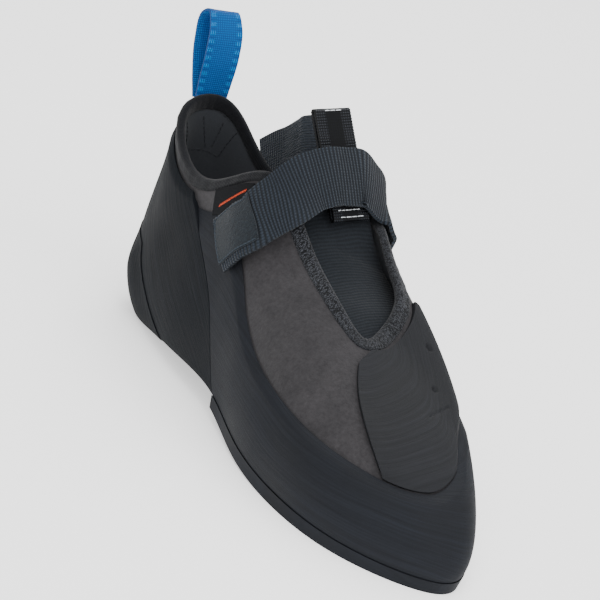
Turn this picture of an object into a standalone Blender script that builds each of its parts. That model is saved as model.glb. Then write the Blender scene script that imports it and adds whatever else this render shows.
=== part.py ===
"""One-strap climbing shoe for the right foot, downturned and bent towards the big toe.

Metres. +X runs from heel to toe, +Y to the inner side of the foot, +Z up. The origin lies on the
floor, in the middle of the flat spot under the forefoot.

The whole shoe hangs on one surface, skin(turn, share). turn runs round the shoe through sixteen
stations: 0 at the back of the heel, along the outer side to 8 at the toe tip, and back along the
inner side. share runs up each station from the feather line (0), where the upper meets the sole,
to the top line (1), which is the collar and the edge of the throat. The skin is the outside of the
upper. Rubber lies outside it, one layer on another, and the wall of the upper lies inside it.
"""

import bmesh
import bpy
import math
import numpy as np

# Driving sizes of the last and the upper
LENGTH = 0.244            # back of the heel to the toe tip
BALL_WIDTH = 0.086        # across the forefoot
HEEL_WIDTH = 0.056        # across the heel
COLLAR_HEIGHT = 0.096     # floor to the top of the heel tab
INSTEP_HEIGHT = 0.094     # floor to the top of the throat
SOLE_RISE = 0.010         # floor to the feather line, as the tables below count it
UPPER_WALL = 0.0022

# Rubber and trim
RUBBER = 0.0018           # rand and heel cup
PATCH = 0.0014            # toe patch
OUTSOLE = 0.0040
OUTSOLE_LIP = 0.0002      # how far the outsole stands past the rand
OUTSOLE_BEVEL = 0.0008    # how far its underside stays back from that edge
BUMPER = 0.0026
INSOLE = 0.0014
BINDING_WIDTH = 0.0075    # down the throat
BINDING_STAND = 0.0007    # how far the binding stands proud of the upper, on both sides
TONGUE = 0.0024
GAP = 0.0003              # between two pieces that touch
LAYER_GAP = 0.0005        # the same between two curved layers, whose facets cut the curve
SEAM = 0.0007             # between two pieces that lie edge to edge
UNDERFOOT_BOW = 0.0012    # how far the middle of the sole hangs below its edges

# Finish of the mesh
STEPS = 5                 # columns between two stations
RISES = 8                 # rows from the feather line to the binding
TRAY_RISES = 5            # rows up the wall of a rubber tray
CROSS = 6                 # columns across the sole
CUP_ROWS = 16             # rows of the heel cup on each side, closer together at the back
CUP_CROWDING = 1.3
BUMPER_ROWS = 10
PATCH_ROWS = 13
SLANT_ROWS = 7            # rows of the rand that turn from the slant of its seam to the stations
STRAP_STEPS = 30
LOW_RUN_STEPS = 12
PULL_STEPS = 27
ARC_STEPS = 6             # round each end of the tongue loop

ORIGIN_ALONG = 0.80       # share of LENGTH where the origin lies

STATIONS = 16
TOE = STATIONS / 2
BALL = 5.0                # station of the ball on the outer side
OUTSOLE_START = 4.1       # station of the outsole's rear edge
INSOLE_START = 0.6        # how far the insole stays back from the heel and from the toe
INSOLE_END = TOE - 0.4
INSOLE_STEPS = 2

# Feather line: place, along LENGTH, width it follows, share of that width, share of SOLE_RISE
FEATHER = (
    ("heel back",         0.072, HEEL_WIDTH, 0.00, 0.56),
    ("heel corner outer", 0.100, HEEL_WIDTH, -0.22, 0.56),
    ("heel side outer",   0.180, HEEL_WIDTH, -0.35, 0.60),
    ("waist outer",       0.320, HEEL_WIDTH, -0.46, 1.05),
    ("shank outer",       0.460, BALL_WIDTH, -0.32, 1.15),
    ("ball outer",        0.610, BALL_WIDTH, -0.40, 0.80),
    ("little toe",        0.755, BALL_WIDTH, -0.41, 0.66),
    ("fourth toe",        0.890, BALL_WIDTH, -0.29, 0.62),
    ("toe tip",           0.985, BALL_WIDTH, 0.00, 0.60),
    ("big toe",           0.938, BALL_WIDTH, 0.205, 0.62),
    ("big toe knuckle",   0.835, BALL_WIDTH, 0.345, 0.66),
    ("ball inner",        0.690, BALL_WIDTH, 0.42, 0.80),
    ("shank inner",       0.540, BALL_WIDTH, 0.31, 1.35),
    ("waist inner",       0.370, HEEL_WIDTH, 0.36, 1.50),
    ("heel side inner",   0.195, HEEL_WIDTH, 0.35, 0.65),
    ("heel corner inner", 0.100, HEEL_WIDTH, 0.22, 0.56),
)

# Top line: place, along LENGTH, width it follows, share of that width, height it follows, share
TOP_LINE = (
    ("heel back",         0.030, HEEL_WIDTH, 0.00, COLLAR_HEIGHT, 1.00),
    ("heel corner outer", 0.053, HEEL_WIDTH, -0.295, COLLAR_HEIGHT, 0.94),
    ("heel side outer",   0.148, HEEL_WIDTH, -0.43, COLLAR_HEIGHT, 0.82),
    ("waist outer",       0.262, HEEL_WIDTH, -0.43, COLLAR_HEIGHT, 0.838),
    ("shank outer",       0.377, BALL_WIDTH, -0.21, INSTEP_HEIGHT, 1.025),
    ("ball outer",        0.459, BALL_WIDTH, -0.08, INSTEP_HEIGHT, 0.84),
    ("little toe",        0.541, BALL_WIDTH, -0.06, INSTEP_HEIGHT, 0.735),
    ("fourth toe",        0.612, BALL_WIDTH, -0.025, INSTEP_HEIGHT, 0.65),
    ("toe tip",           0.635, BALL_WIDTH, 0.02, INSTEP_HEIGHT, 0.62),
    ("big toe",           0.619, BALL_WIDTH, 0.12, INSTEP_HEIGHT, 0.655),
    ("big toe knuckle",   0.578, BALL_WIDTH, 0.24, INSTEP_HEIGHT, 0.745),
    ("ball inner",        0.508, BALL_WIDTH, 0.29, INSTEP_HEIGHT, 0.83),
    ("shank inner",       0.434, BALL_WIDTH, 0.33, INSTEP_HEIGHT, 0.915),
    ("waist inner",       0.320, BALL_WIDTH, 0.33, INSTEP_HEIGHT, 0.895),
    ("heel side inner",   0.172, HEEL_WIDTH, 0.39, COLLAR_HEIGHT, 0.78),
    ("heel corner inner", 0.070, HEEL_WIDTH, 0.22, COLLAR_HEIGHT, 0.94),
)

# Width of the binding: turn on either side of the heel, share of BINDING_WIDTH
BINDING_SHARE = (
    (0.0, 0.95), (1.0, 0.88), (2.2, 0.82), (3.2, 0.84), (3.9, 0.78), (4.6, 1.00),
)

# Bulge of each station: place, how far the lower curve stands out and how high (shares of
# BALL_WIDTH and of the station's height), the same for the upper curve, counted from the top line
BULGE = (
    ("heel back",         0.25, 0.24, -0.02, 0.34),
    ("heel corner outer", 0.20, 0.24, -0.07, 0.34),
    ("heel side outer",   0.13, 0.26, -0.01, 0.36),
    ("waist outer",       0.07, 0.26, 0.03, 0.30),
    ("shank outer",       0.06, 0.28, 0.12, 0.18),
    ("ball outer",        0.07, 0.30, 0.22, 0.14),
    ("little toe",        0.08, 0.32, 0.29, 0.17),
    ("fourth toe",        0.07, 0.34, 0.34, 0.20),
    ("toe tip",           0.05, 0.36, 0.40, 0.22),
    ("big toe",           0.06, 0.38, 0.34, 0.18),
    ("big toe knuckle",   0.07, 0.38, 0.23, 0.12),
    ("ball inner",        0.06, 0.36, 0.15, 0.12),
    ("shank inner",       0.07, 0.36, 0.11, 0.15),
    ("waist inner",       0.08, 0.32, 0.05, 0.25),
    ("heel side inner",   0.13, 0.26, -0.01, 0.36),
    ("heel corner inner", 0.19, 0.24, -0.04, 0.34),
)

# Upper edge of the rand: turn, share of the skin. Its rear end runs up under the strap.
RAND_TOP = (
    (2.9, 0.82), (3.5, 0.76), (4.3, 0.56), (4.7, 0.46), (5.4, 0.40), (6.4, 0.36), (7.2, 0.33),
    (8.0, 0.30), (8.4, 0.36), (8.9, 0.46), (9.8, 0.48), (10.8, 0.44), (11.6, 0.44), (12.4, 0.56),
    (13.2, 0.70),
)

# Seam between heel cup and rand: share of the skin, turn of the outer side, of the inner side
CUP_SEAM = (
    (0.00, 4.05, 12.00),
    (0.20, 3.82, 12.22),
    (0.40, 3.58, 12.45),
    (0.60, 3.25, 12.75),
    (0.82, 2.85, 13.15),
    (0.96, 2.45, 13.60),
)

# Front edge of the heel bumper: share of the skin, turn of the outer side
BUMPER_EDGE = (
    (0.00, 2.55), (0.10, 2.30), (0.20, 2.05), (0.32, 1.70), (0.38, 1.58),
)
BUMPER_TOP = 0.38         # share of the skin
BUMPER_FADE = 0.45        # share of its length that keeps the full thickness
BUMPER_END = 0.30         # share of the thickness left at its front edge and at its top

# Toe patch: share of the way from rand to binding, turn of its outer edge, of its inner edge
PATCH_EDGE = (
    (0.00, 7.50, 11.20),
    (0.50, 7.46, 10.90),
    (0.85, 7.56, 10.45),
    (1.00, 7.95, 10.20),
)

# Tongue: it starts ahead of the throat, and its free end stands up behind the strap
TONGUE_FRONT = TOE - 0.6  # stations between which it lies inside the upper
TONGUE_BACK = 4.4
TONGUE_STEPS = 4
TONGUE_REACH = 0.20       # share of the skin that covers the sides of the tongue
TONGUE_CROWN = 0.0034     # how far its middle stands above its sides
TONGUE_SINK = 0.0044      # how much deeper than its sides its front end lies under the vamp
TONGUE_SINK_END = 2.4     # stations behind the toe where it no longer lies deeper
TONGUE_NARROWING = 0.08   # share of its width that each free step loses
TONGUE_TIP = (            # length of each free step, and its slope in degrees
    (0.009, 42), (0.010, 52), (0.009, 58),
)

# Strap and loops
STRAP_WIDTH = 0.0238
STRAP = 0.0016
STRAP_SLOPE = -1.15       # how far the strap's section drops towards the toe, for each metre ahead
LOOP_WIDTH = 0.0175
LOOP = 0.0010

# Middle of the strap's top layer, from the tab on the outer side to the fold on the inner side: place,
# along LENGTH, across BALL_WIDTH, up INSTEP_HEIGHT, and the bow of its section in STRAP_WIDTH
STRAP_TOP = (
    ("tab end",        0.374, -0.378, 0.675, 0.055),
    ("tab",            0.400, -0.369, 0.772, 0.060),
    ("over the rand",  0.422, -0.317, 0.867, 0.060),
    ("collar corner",  0.426, -0.212, 0.965, 0.045),
    ("throat edge",    0.416, -0.064, 1.051, 0.030),
    ("crest",          0.411, 0.075, 1.080, 0.020),
    ("inner crest",    0.407, 0.200, 1.080, 0.020),
    ("inner throat",   0.406, 0.314, 1.027, 0.030),
    ("beside collar",  0.407, 0.394, 0.956, 0.030),
    ("inner drop",     0.404, 0.415, 0.880, 0.030),
    ("inner side",     0.398, 0.412, 0.800, 0.030),
    ("sewn end",       0.392, 0.402, 0.725, 0.030),
)
STRAP_LEAN = (            # share of the way along the strap, how far its side leans across
    (0.0, -0.12), (0.1, -0.20), (0.2, -0.36), (0.3, -0.28), (0.4, 0.00), (0.7, 0.10), (0.85, 0.04), (1.0, 0.00),
)

# Middle of the strap's lower run, from the inner side of the heel to the back of the tongue loop;
# the last column is the slope of its section
STRAP_LOW = (
    ("heel anchor",    0.060, 0.345, 0.730, -2.6),
    ("behind collar",  0.110, 0.335, 0.835, -2.4),
    ("over collar",    0.195, 0.235, 0.965, -2.0),
    ("before loop",    0.265, 0.130, 1.055, -1.6),
    ("nearer",         0.318, 0.085, 1.115, -1.4),
    ("at the loop",    0.3385, 0.066, 1.136, -1.2),
)

# Tongue loop: a flat ring of ribbon, from below the strap to the top of the tongue
LOOP_LOW = (0.4365, 0.160, 0.904)    # shares of LENGTH, BALL_WIDTH and INSTEP_HEIGHT
LOOP_HIGH = (0.3225, 0.086, 1.287)
LOOP_DEPTH = 0.0027

# Pull loop at the heel: how far forward of its foot and how high each place of the ribbon is
PULL_WIDTH = 0.015
PULL_HEIGHT = 0.036
PULL_LEAN = -0.05         # how far it leans to the outer side, as a share of its height
PULL_PATH = (
    ("front foot",  0.000, 0.00),
    ("front leg",   0.005, 0.22),
    ("front leg",   0.010, 0.55),
    ("front top",  -0.070, 0.88),
    ("top",        -0.190, 1.00),
    ("back top",   -0.295, 0.93),
    ("back leg",   -0.280, 0.62),
    ("back leg",   -0.160, 0.28),
    ("back foot",  -0.034, 0.00),
)


def periodic(values):
    """Smooth closed curve through one value a station, as a function of turn."""
    values = np.asarray(values, float)
    count = len(values)
    system = np.zeros((count, count))
    for row in range(count):
        system[row, row] = 4.0
        system[row, row - 1] = 1.0
        system[row, (row + 1) % count] = 1.0
    change = 3.0 * (np.roll(values, -1, axis=0) - np.roll(values, 1, axis=0))
    slopes = np.linalg.solve(system, change)

    def curve(turn):
        turn = turn % count
        low = int(turn)
        high = (low + 1) % count
        u = turn - low
        return (
            (1 + 2 * u) * (1 - u) ** 2 * values[low] + u * (1 - u) ** 2 * slopes[low]
            + u * u * (3 - 2 * u) * values[high] + u * u * (u - 1) * slopes[high]
        )
    return curve


def through(rows):
    """Monotone curve through rows of (place, value), flat past both ends."""
    places = [row[0] for row in rows]
    values = [row[1] for row in rows]
    count = len(rows)
    chords = [(values[k + 1] - values[k]) / (places[k + 1] - places[k]) for k in range(count - 1)]
    slopes = [chords[0]] + [0.0] * (count - 2) + [chords[-1]]
    for k in range(1, count - 1):
        if chords[k - 1] * chords[k] > 0:
            slopes[k] = 2 * chords[k - 1] * chords[k] / (chords[k - 1] + chords[k])

    def curve(place):
        place = min(max(place, places[0]), places[-1])
        k = min(max(int(np.searchsorted(places, place)) - 1, 0), count - 2)
        span = places[k + 1] - places[k]
        u = (place - places[k]) / span
        return (
            (1 + 2 * u) * (1 - u) ** 2 * values[k] + u * (1 - u) ** 2 * span * slopes[k]
            + u * u * (3 - 2 * u) * values[k + 1] + u * u * (u - 1) * span * slopes[k + 1]
        )
    return curve


UP = np.array((0.0, 0.0, 1.0))
feather = periodic([
    ((along - ORIGIN_ALONG) * LENGTH, across * width, lift * SOLE_RISE)
    for _, along, width, across, lift in FEATHER
])
top_line = periodic([
    ((along - ORIGIN_ALONG) * LENGTH, across * width, share * height)
    for _, along, width, across, height, share in TOP_LINE
])
bulge = periodic([row[1:] for row in BULGE])
binding_share = through(BINDING_SHARE)
rand_top = through(RAND_TOP)
seam_outer = through([(share, outer) for share, outer, _ in CUP_SEAM])
seam_inner = through([(share, inner) for share, _, inner in CUP_SEAM])
bumper_edge = through(BUMPER_EDGE)
patch_outer = through([(share, outer) for share, outer, _ in PATCH_EDGE])
patch_inner = through([(share, inner) for share, _, inner in PATCH_EDGE])
strap_lean = through(STRAP_LEAN)


def outward(turn):
    """Level direction that points out of the shoe, square to the feather line."""
    along = feather(turn + 0.02) - feather(turn - 0.02)
    side = np.array((-along[1], along[0], 0.0))
    return -side / np.linalg.norm(side)


def unit(vector):
    return vector / np.linalg.norm(vector)


PROFILE_STEPS = np.linspace(0.0, 1.0, 33)
profiles = {}


def profile(turn):
    """Curve of one station: its four control points, and its length up to each profile step."""
    key = round(turn % STATIONS, 6)
    if key not in profiles:
        low = feather(turn)
        high = top_line(turn)
        rise = high[2] - low[2]
        belly, belly_up, reach, drop = bulge(turn)
        out = outward(turn)
        points = np.array((
            low,
            low + out * belly * BALL_WIDTH + UP * belly_up * rise,
            high + out * reach * BALL_WIDTH - UP * drop * rise,
            high,
        ))
        curve = np.array([bezier(points, u) for u in PROFILE_STEPS])
        lengths = np.concatenate(((0.0,), np.cumsum(np.linalg.norm(np.diff(curve, axis=0), axis=1))))
        profiles[key] = (points, lengths)
    return profiles[key]


def bezier(points, u):
    weights = ((1 - u) ** 3, 3 * u * (1 - u) ** 2, 3 * u * u * (1 - u), u ** 3)
    return sum(weight * point for weight, point in zip(weights, points))


def height_of(turn):
    """Length of the skin from the feather line to the top line."""
    return profile(turn)[1][-1]


def skin(turn, share):
    points, lengths = profile(turn)
    return bezier(points, np.interp(share * lengths[-1], lengths, PROFILE_STEPS))


def normal(turn, share):
    """Direction square to the skin, pointing out of the shoe."""
    low, high = max(share - 0.02, 0.0), min(share + 0.02, 1.0)
    across = skin(turn + 0.05, share) - skin(turn - 0.05, share)
    up = skin(turn, high) - skin(turn, low)
    return unit(np.cross(up, across)) * -1.0


def layer(turn, share, lift):
    """Point lift metres outside the skin."""
    return skin(turn, share) + normal(turn, share) * lift


def edge_share(turn):
    """Where the upper ends and its binding begins."""
    width = BINDING_WIDTH * binding_share(min(turn % STATIONS, -turn % STATIONS))
    return 1.0 - width / height_of(turn)


def sole_point(turn, across, stand, depth):
    """Point of the sole: turn on the outer side, share of the way to the inner side, how far its
    edge stands out of the feather line, and its depth below it."""
    outer = feather(turn) + outward(turn) * stand
    inner = feather(STATIONS - turn) + outward(STATIONS - turn) * stand
    point = outer * (1 - across) + inner * across
    bow = UNDERFOOT_BOW * 4 * across * (1 - across) * min(1.0, np.linalg.norm(outer - inner) / HEEL_WIDTH)
    return point - UP * (depth + bow)


collection = bpy.data.collections.new("climbing_shoe")


def clear_scene():
    for item in list(bpy.data.objects):
        bpy.data.objects.remove(item, do_unlink=True)
    bpy.context.scene.collection.children.link(collection)


def finish(name, colour, roughness, metallic=0.0):
    material = bpy.data.materials.new(name + "_finish")
    material.use_nodes = True
    surface = material.node_tree.nodes["Principled BSDF"]
    surface.inputs["Base Color"].default_value = (*colour, 1.0)
    surface.inputs["Roughness"].default_value = roughness
    surface.inputs["Metallic"].default_value = metallic
    return material


def add_solid(name, points, faces, colour, roughness, metallic=0.0):
    """Object from points and faces, with doubled points welded and the faces turned outwards."""
    mesh = bpy.data.meshes.new(name)
    shape = bmesh.new()
    corners = [shape.verts.new(point) for point in points]
    for face in faces:
        shape.faces.new([corners[index] for index in face])
    bmesh.ops.remove_doubles(shape, verts=shape.verts, dist=1e-6)
    bmesh.ops.dissolve_degenerate(shape, edges=shape.edges, dist=1e-6)
    bmesh.ops.triangulate(shape, faces=shape.faces, quad_method="SHORT_EDGE")
    bmesh.ops.recalc_face_normals(shape, faces=shape.faces)
    shape.to_mesh(mesh)
    shape.free()
    mesh.shade_smooth()
    mesh.set_sharp_from_angle(angle=math.radians(40))
    mesh.materials.append(finish(name, colour, roughness, metallic))
    item = bpy.data.objects.new(name, mesh)
    collection.objects.link(item)
    return item


def between(outer, inner, closed_rows=False, rims=(0, -1)):
    """Points and faces of the solid between two grids of the same size. With closed_rows the last
    row of the grid joins the first; a row that folds onto itself gets no rim."""
    outer = np.asarray(outer)
    inner = np.asarray(inner)
    rows, columns = outer.shape[:2]
    size = rows * columns
    points = [tuple(point) for point in outer.reshape(-1, 3)]
    points += [tuple(point) for point in inner.reshape(-1, 3)]

    def at(row, column, side):
        return (row % rows) * columns + column + side * size

    faces = []
    for row in range(rows if closed_rows else rows - 1):
        for column in range(columns - 1):
            square = [(row, column), (row, column + 1), (row + 1, column + 1), (row + 1, column)]
            faces.append([at(r, c, 0) for r, c in square])
            faces.append([at(r, c, 1) for r, c in reversed(square)])
        for column in (0, columns - 1):
            rim = [at(row, column, 0), at(row + 1, column, 0), at(row + 1, column, 1), at(row, column, 1)]
            faces.append(rim if column == 0 else rim[::-1])
    if not closed_rows:
        for row in [rim % rows for rim in rims]:
            for column in range(columns - 1):
                rim = [at(row, column + 1, 0), at(row, column, 0), at(row, column, 1), at(row, column + 1, 1)]
                faces.append(rim if row == 0 else rim[::-1])
    return points, faces


def turns(start, end, steps=STEPS):
    return np.linspace(start, end, int(round((end - start) * steps)) + 1)


def trough(rows, top, lift, heights=TRAY_RISES, corner=2):
    """Grid of a rubber tray, lift metres outside the skin: each row runs down the outer side,
    across underfoot and up the inner side. rows gives, for a share of the wall's height, the turn
    of each row on the outer and on the inner side; top is the height of the wall there."""
    grid = []
    for row in range(rows(0.0)[0].shape[0]):
        line = []
        for k in range(heights, -1, -1):
            turn = rows(k / heights)[0][row]
            line.append(layer(turn, k / heights * top(turn), lift))
        outer_turn, inner_turn = rows(0.0)[0][row], rows(0.0)[1][row]
        line += corner_points(outer_turn, lift, corner)
        for k in range(CROSS + 1):
            across = k / CROSS
            turn = outer_turn * (1 - across) + (STATIONS - inner_turn) * across
            line.append(sole_point(turn, across, 0.0, lift))
        line += corner_points(inner_turn, lift, corner)[::-1]
        for k in range(heights + 1):
            turn = rows(k / heights)[1][row]
            line.append(layer(turn, k / heights * top(turn), lift))
        grid.append(line)
    return grid


def corner_points(turn, lift, count):
    """Points round the feather line, from square out of the wall to straight down."""
    out = normal(turn, 0.0)
    low = feather(turn)
    points = []
    for k in range(1, count + 1):
        mix = k / (count + 1)
        points.append(low + unit(out * (1 - mix) - UP * mix) * lift)
    return points


def make_upper():
    columns = turns(0, STATIONS)[:-1]
    outer = []
    inner = []
    for turn in columns:
        edge = edge_share(turn)
        outer.append([layer(turn, edge * k / RISES, 0.0) for k in range(RISES + 1)])
        inner.append([layer(turn, edge * k / RISES, -UPPER_WALL) for k in range(RISES + 1)])
    add_solid("upper", *between(outer, inner, True), (0.070, 0.062, 0.065), 0.9)


def make_binding():
    """Padded cuff and throat binding: a soft strip that carries on the wall of the upper."""
    rim = ((0.0, 0.6), (0.2, 1.0), (0.75, 0.9), (1.0, 0.3))
    outer = []
    inner = []
    middle = -UPPER_WALL / 2
    half = UPPER_WALL / 2 + BINDING_STAND
    for turn in turns(0, STATIONS)[:-1]:
        start = edge_share(turn) + SEAM / height_of(turn)
        shares = [(start + (1 - start) * place, fullness) for place, fullness in rim]
        outer.append([layer(turn, share, middle + half * fullness) for share, fullness in shares])
        inner.append([layer(turn, share, middle - half * fullness) for share, fullness in shares])
    add_solid("collar_binding", *between(outer, inner, True), (0.033, 0.034, 0.037), 0.95)


def meeting(height, top, seam):
    """Turn where a slanted seam crosses the row at this share of a wall's height."""
    turn = seam(height)
    for _ in range(12):
        turn = seam(height * top(turn))
    return turn


SEAM_TURN = SEAM / (LENGTH / STATIONS)    # the same clearance counted in stations


def rand_rows(height):
    """Turns of the rand's rows: slanted along the heel cup, in step with the upper further on."""
    ahead = turns(BALL, TOE)[1:]
    outer = np.linspace(meeting(height, rand_top, seam_outer) + SEAM_TURN, BALL, SLANT_ROWS)
    inner = np.linspace(meeting(height, rand_top, seam_inner) - SEAM_TURN, STATIONS - BALL, SLANT_ROWS)
    return np.concatenate((outer, ahead)), np.concatenate((inner, STATIONS - ahead))


def make_rand():
    outer = trough(rand_rows, rand_top, LAYER_GAP + RUBBER)
    inner = trough(rand_rows, rand_top, LAYER_GAP)
    add_solid("rand", *between(outer, inner, rims=(0,)), (0.028, 0.031, 0.034), 0.75)


def cup_top(turn):
    """Upper edge of the heel cup, just below the binding."""
    return edge_share(turn) - SEAM / height_of(turn)


def cup_rows(height):
    spread = np.linspace(0.0, 1.0, CUP_ROWS) ** CUP_CROWDING
    outer = meeting(height, cup_top, seam_outer)
    inner = meeting(height, cup_top, seam_inner)
    return spread * outer, STATIONS - spread * (STATIONS - inner)


def make_heel_cup():
    outer = trough(cup_rows, cup_top, LAYER_GAP + RUBBER, heights=RISES)
    inner = trough(cup_rows, cup_top, LAYER_GAP, heights=RISES)
    add_solid("heel_cup", *between(outer, inner, rims=(-1,)), (0.030, 0.034, 0.038), 0.75)


def bumper_top(_):
    return BUMPER_TOP


def bumper_rows(height):
    spread = np.linspace(0.0, 1.0, BUMPER_ROWS)
    outer = bumper_edge(height * BUMPER_TOP)
    return spread * outer, STATIONS - spread * outer


def make_bumper():
    """Thicker rubber round the bottom of the heel, thinner towards its front edge, and worn flat
    where it stands on the floor."""
    start = LAYER_GAP + RUBBER + LAYER_GAP
    inner = np.array(trough(bumper_rows, bumper_top, start))
    full = np.array(trough(bumper_rows, bumper_top, start + BUMPER))
    places = np.linspace(0.0, 1.0, len(inner))
    forward = np.clip((places - BUMPER_FADE) / (1 - BUMPER_FADE), 0.0, 1.0)
    upward = np.clip((inner[:, :, 2] / inner[:, :1, 2] - BUMPER_FADE) / (1 - BUMPER_FADE), 0.0, 1.0)
    fade = np.maximum(forward[:, None], upward)
    thick = 1 - (1 - BUMPER_END) * fade * fade * (3 - 2 * fade)
    outer = inner + (full - inner) * thick[:, :, None]
    outer[:, :, 2] = np.maximum(outer[:, :, 2], 0.0)
    add_solid("heel_bumper", *between(outer, inner, rims=(-1,)), (0.030, 0.034, 0.038), 0.75)


def make_toe_patch():
    outer = []
    inner = []
    for across in np.linspace(0.0, 1.0, PATCH_ROWS):
        over = []
        under = []
        for height in np.linspace(0.0, 1.0, RISES + 1):
            left, right = patch_outer(height), patch_inner(height)
            turn = left + (right - left) * across
            low = rand_top(turn) + SEAM / height_of(turn)
            share = low + (cup_top(turn) - low) * height
            over.append(layer(turn, share, LAYER_GAP + PATCH))
            under.append(layer(turn, share, LAYER_GAP))
        outer.append(over)
        inner.append(under)
    add_solid("toe_patch", *between(outer, inner), (0.032, 0.034, 0.038), 0.75)


def make_outsole():
    """Forefoot sole, flat on the floor where it is worn flat."""
    rows = turns(OUTSOLE_START, TOE)
    top_grid = []
    low_grid = []
    edge = LAYER_GAP + RUBBER + OUTSOLE_LIP
    depth = LAYER_GAP + RUBBER + GAP
    for turn in rows:
        spots = [k / CROSS for k in range(CROSS + 1)]
        upper = [sole_point(turn, spot, edge, depth) for spot in spots]
        lower = [sole_point(turn, spot, edge - OUTSOLE_BEVEL, depth + OUTSOLE) for spot in spots]
        for point in lower:
            point[2] = max(point[2], 0.0)
        top_grid.append(upper)
        low_grid.append(lower)
    add_solid("outsole", *between(top_grid, low_grid), (0.028, 0.031, 0.034), 0.7)


def make_insole():
    rows = turns(INSOLE_START, INSOLE_END, INSOLE_STEPS)
    top_grid = []
    low_grid = []
    for turn in rows:
        spots = [k / CROSS for k in range(CROSS + 1)]
        inset = -(UPPER_WALL + 2 * GAP)
        top_grid.append([sole_point(turn, spot, inset, -GAP - INSOLE) for spot in spots])
        low_grid.append([sole_point(turn, spot, inset, -GAP) for spot in spots])
    add_solid("insole", *between(top_grid, low_grid), (0.10, 0.09, 0.08), 0.9)


def tongue_rows():
    """Outer face of the tongue: rows from under the vamp up to its free end."""
    rows = []
    depth = UPPER_WALL + BINDING_STAND + 3 * GAP
    for turn in turns(TONGUE_BACK, TONGUE_FRONT, TONGUE_STEPS)[::-1]:
        ahead = TOE - turn
        share = 1 - TONGUE_REACH * (0.5 + 0.5 * min(1.0, ahead / 1.5))
        lower = depth + TONGUE_SINK * max(0.0, 1 - ahead / TONGUE_SINK_END)
        left = layer(turn, share, -lower)
        right = layer(STATIONS - turn, share, -lower)
        width = np.linalg.norm(right - left)
        crown = TONGUE_CROWN * min(1.0, width / BALL_WIDTH * 2) ** 2
        rows.append([
            left * (1 - k / CROSS) + right * (k / CROSS) + UP * crown * 4 * k / CROSS * (1 - k / CROSS)
            for k in range(CROSS + 1)
        ])
    for step, slope in TONGUE_TIP:
        angle = math.radians(slope)
        move = np.array((-math.cos(angle), 0.0, math.sin(angle))) * step
        last = rows[-1]
        middle = last[CROSS // 2]
        rows.append([point + (middle - point) * TONGUE_NARROWING + move for point in last])
    return np.array(rows)


def thicken(grid, thickness):
    """Second face of a sheet, square to the first, thickness metres below it."""
    grid = np.asarray(grid)
    along = np.gradient(grid, axis=0)
    across = np.gradient(grid, axis=1)
    square = np.cross(along, across)
    square /= np.linalg.norm(square, axis=2, keepdims=True)
    return grid - square * thickness


def make_tongue():
    outer = tongue_rows()
    inner = thicken(outer, -TONGUE)
    add_solid("tongue", *between(outer, inner), (0.024, 0.028, 0.032), 0.95)


def route(rows, steps):
    """Smooth open curve through the middle of a strap, with the last column of each place."""
    points = np.array([
        ((along - ORIGIN_ALONG) * LENGTH, across * BALL_WIDTH, up * INSTEP_HEIGHT, last)
        for _, along, across, up, last in rows
    ])
    places = list(range(len(points)))
    curves = [through(list(zip(places, points[:, k]))) for k in range(4)]
    return np.array([[curve(place) for curve in curves] for place in np.linspace(0, places[-1], steps)])


def ribbon(middles, sides, width, bows, columns=4):
    """Outer face of a webbing along its middle line, as wide as width towards each side, and bowed
    outwards."""
    grid = []
    along = np.gradient(middles, axis=0)
    for middle, forward, side, bow in zip(middles, along, sides, bows):
        forward = unit(forward)
        side = unit(side - forward * np.dot(side, forward))
        out = np.cross(side, forward)
        places = [k / columns * 2 - 1 for k in range(columns + 1)]
        grid.append([middle + side * u * width / 2 + out * bow * (1 - u * u) for u in places])
    return np.array(grid)


def make_strap():
    """Closing strap: from its tab on the outer side over the instep to the inner side."""
    path = route(STRAP_TOP, STRAP_STEPS)
    leans = [strap_lean(place) for place in np.linspace(0.0, 1.0, STRAP_STEPS)]
    sides = [np.array((1.0, lean, STRAP_SLOPE)) for lean in leans]
    outer = ribbon(path[:, :3], sides, STRAP_WIDTH, path[:, 3] * STRAP_WIDTH)
    inner = thicken(outer, -STRAP)
    add_solid("strap", *between(outer, inner), (0.022, 0.030, 0.040), 0.8)


def make_strap_lower_run():
    path = route(STRAP_LOW, LOW_RUN_STEPS)
    sides = [np.array((1.0, 0.0, slope)) for slope in path[:, 3]]
    outer = ribbon(path[:, :3], sides, STRAP_WIDTH, [0.0] * LOW_RUN_STEPS, columns=2)
    inner = thicken(outer, -STRAP)
    add_solid("strap_lower_run", *between(outer, inner), (0.022, 0.030, 0.040), 0.8)


def place_in_shoe(shares):
    along, across, up = shares
    return np.array(((along - ORIGIN_ALONG) * LENGTH, across * BALL_WIDTH, up * INSTEP_HEIGHT))


def make_tongue_loop():
    """Flat ring of ribbon that stands on the tongue, with round ends."""
    low = place_in_shoe(LOOP_LOW)
    high = place_in_shoe(LOOP_HIGH)
    rise = unit(high - low)
    side = unit(np.array((0.0, 1.0, 0.0)) - rise * rise[1])
    front = np.cross(side, rise)
    reach = np.linalg.norm(high - low) / 2
    outer = []
    inner = []
    for ring, faces in ((LOOP_DEPTH / 2, outer), (LOOP_DEPTH / 2 - LOOP, inner)):
        straight = reach - LOOP_DEPTH / 2
        spots = []
        for end in (1, -1):
            for k in range(ARC_STEPS + 1):
                angle = math.pi * (k / ARC_STEPS - 0.5)
                spots.append((end * (straight + ring * math.cos(angle)), -end * ring * math.sin(angle)))
            spots.append((0.0, -end * ring))
        for up, out in spots:
            middle = (low + high) / 2 + rise * up + front * out
            faces.append([middle + side * LOOP_WIDTH * (k / 2 - 0.5) for k in range(3)])
    add_solid("tongue_loop", *between(outer, inner, True), (0.010, 0.010, 0.011), 0.4)


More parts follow.
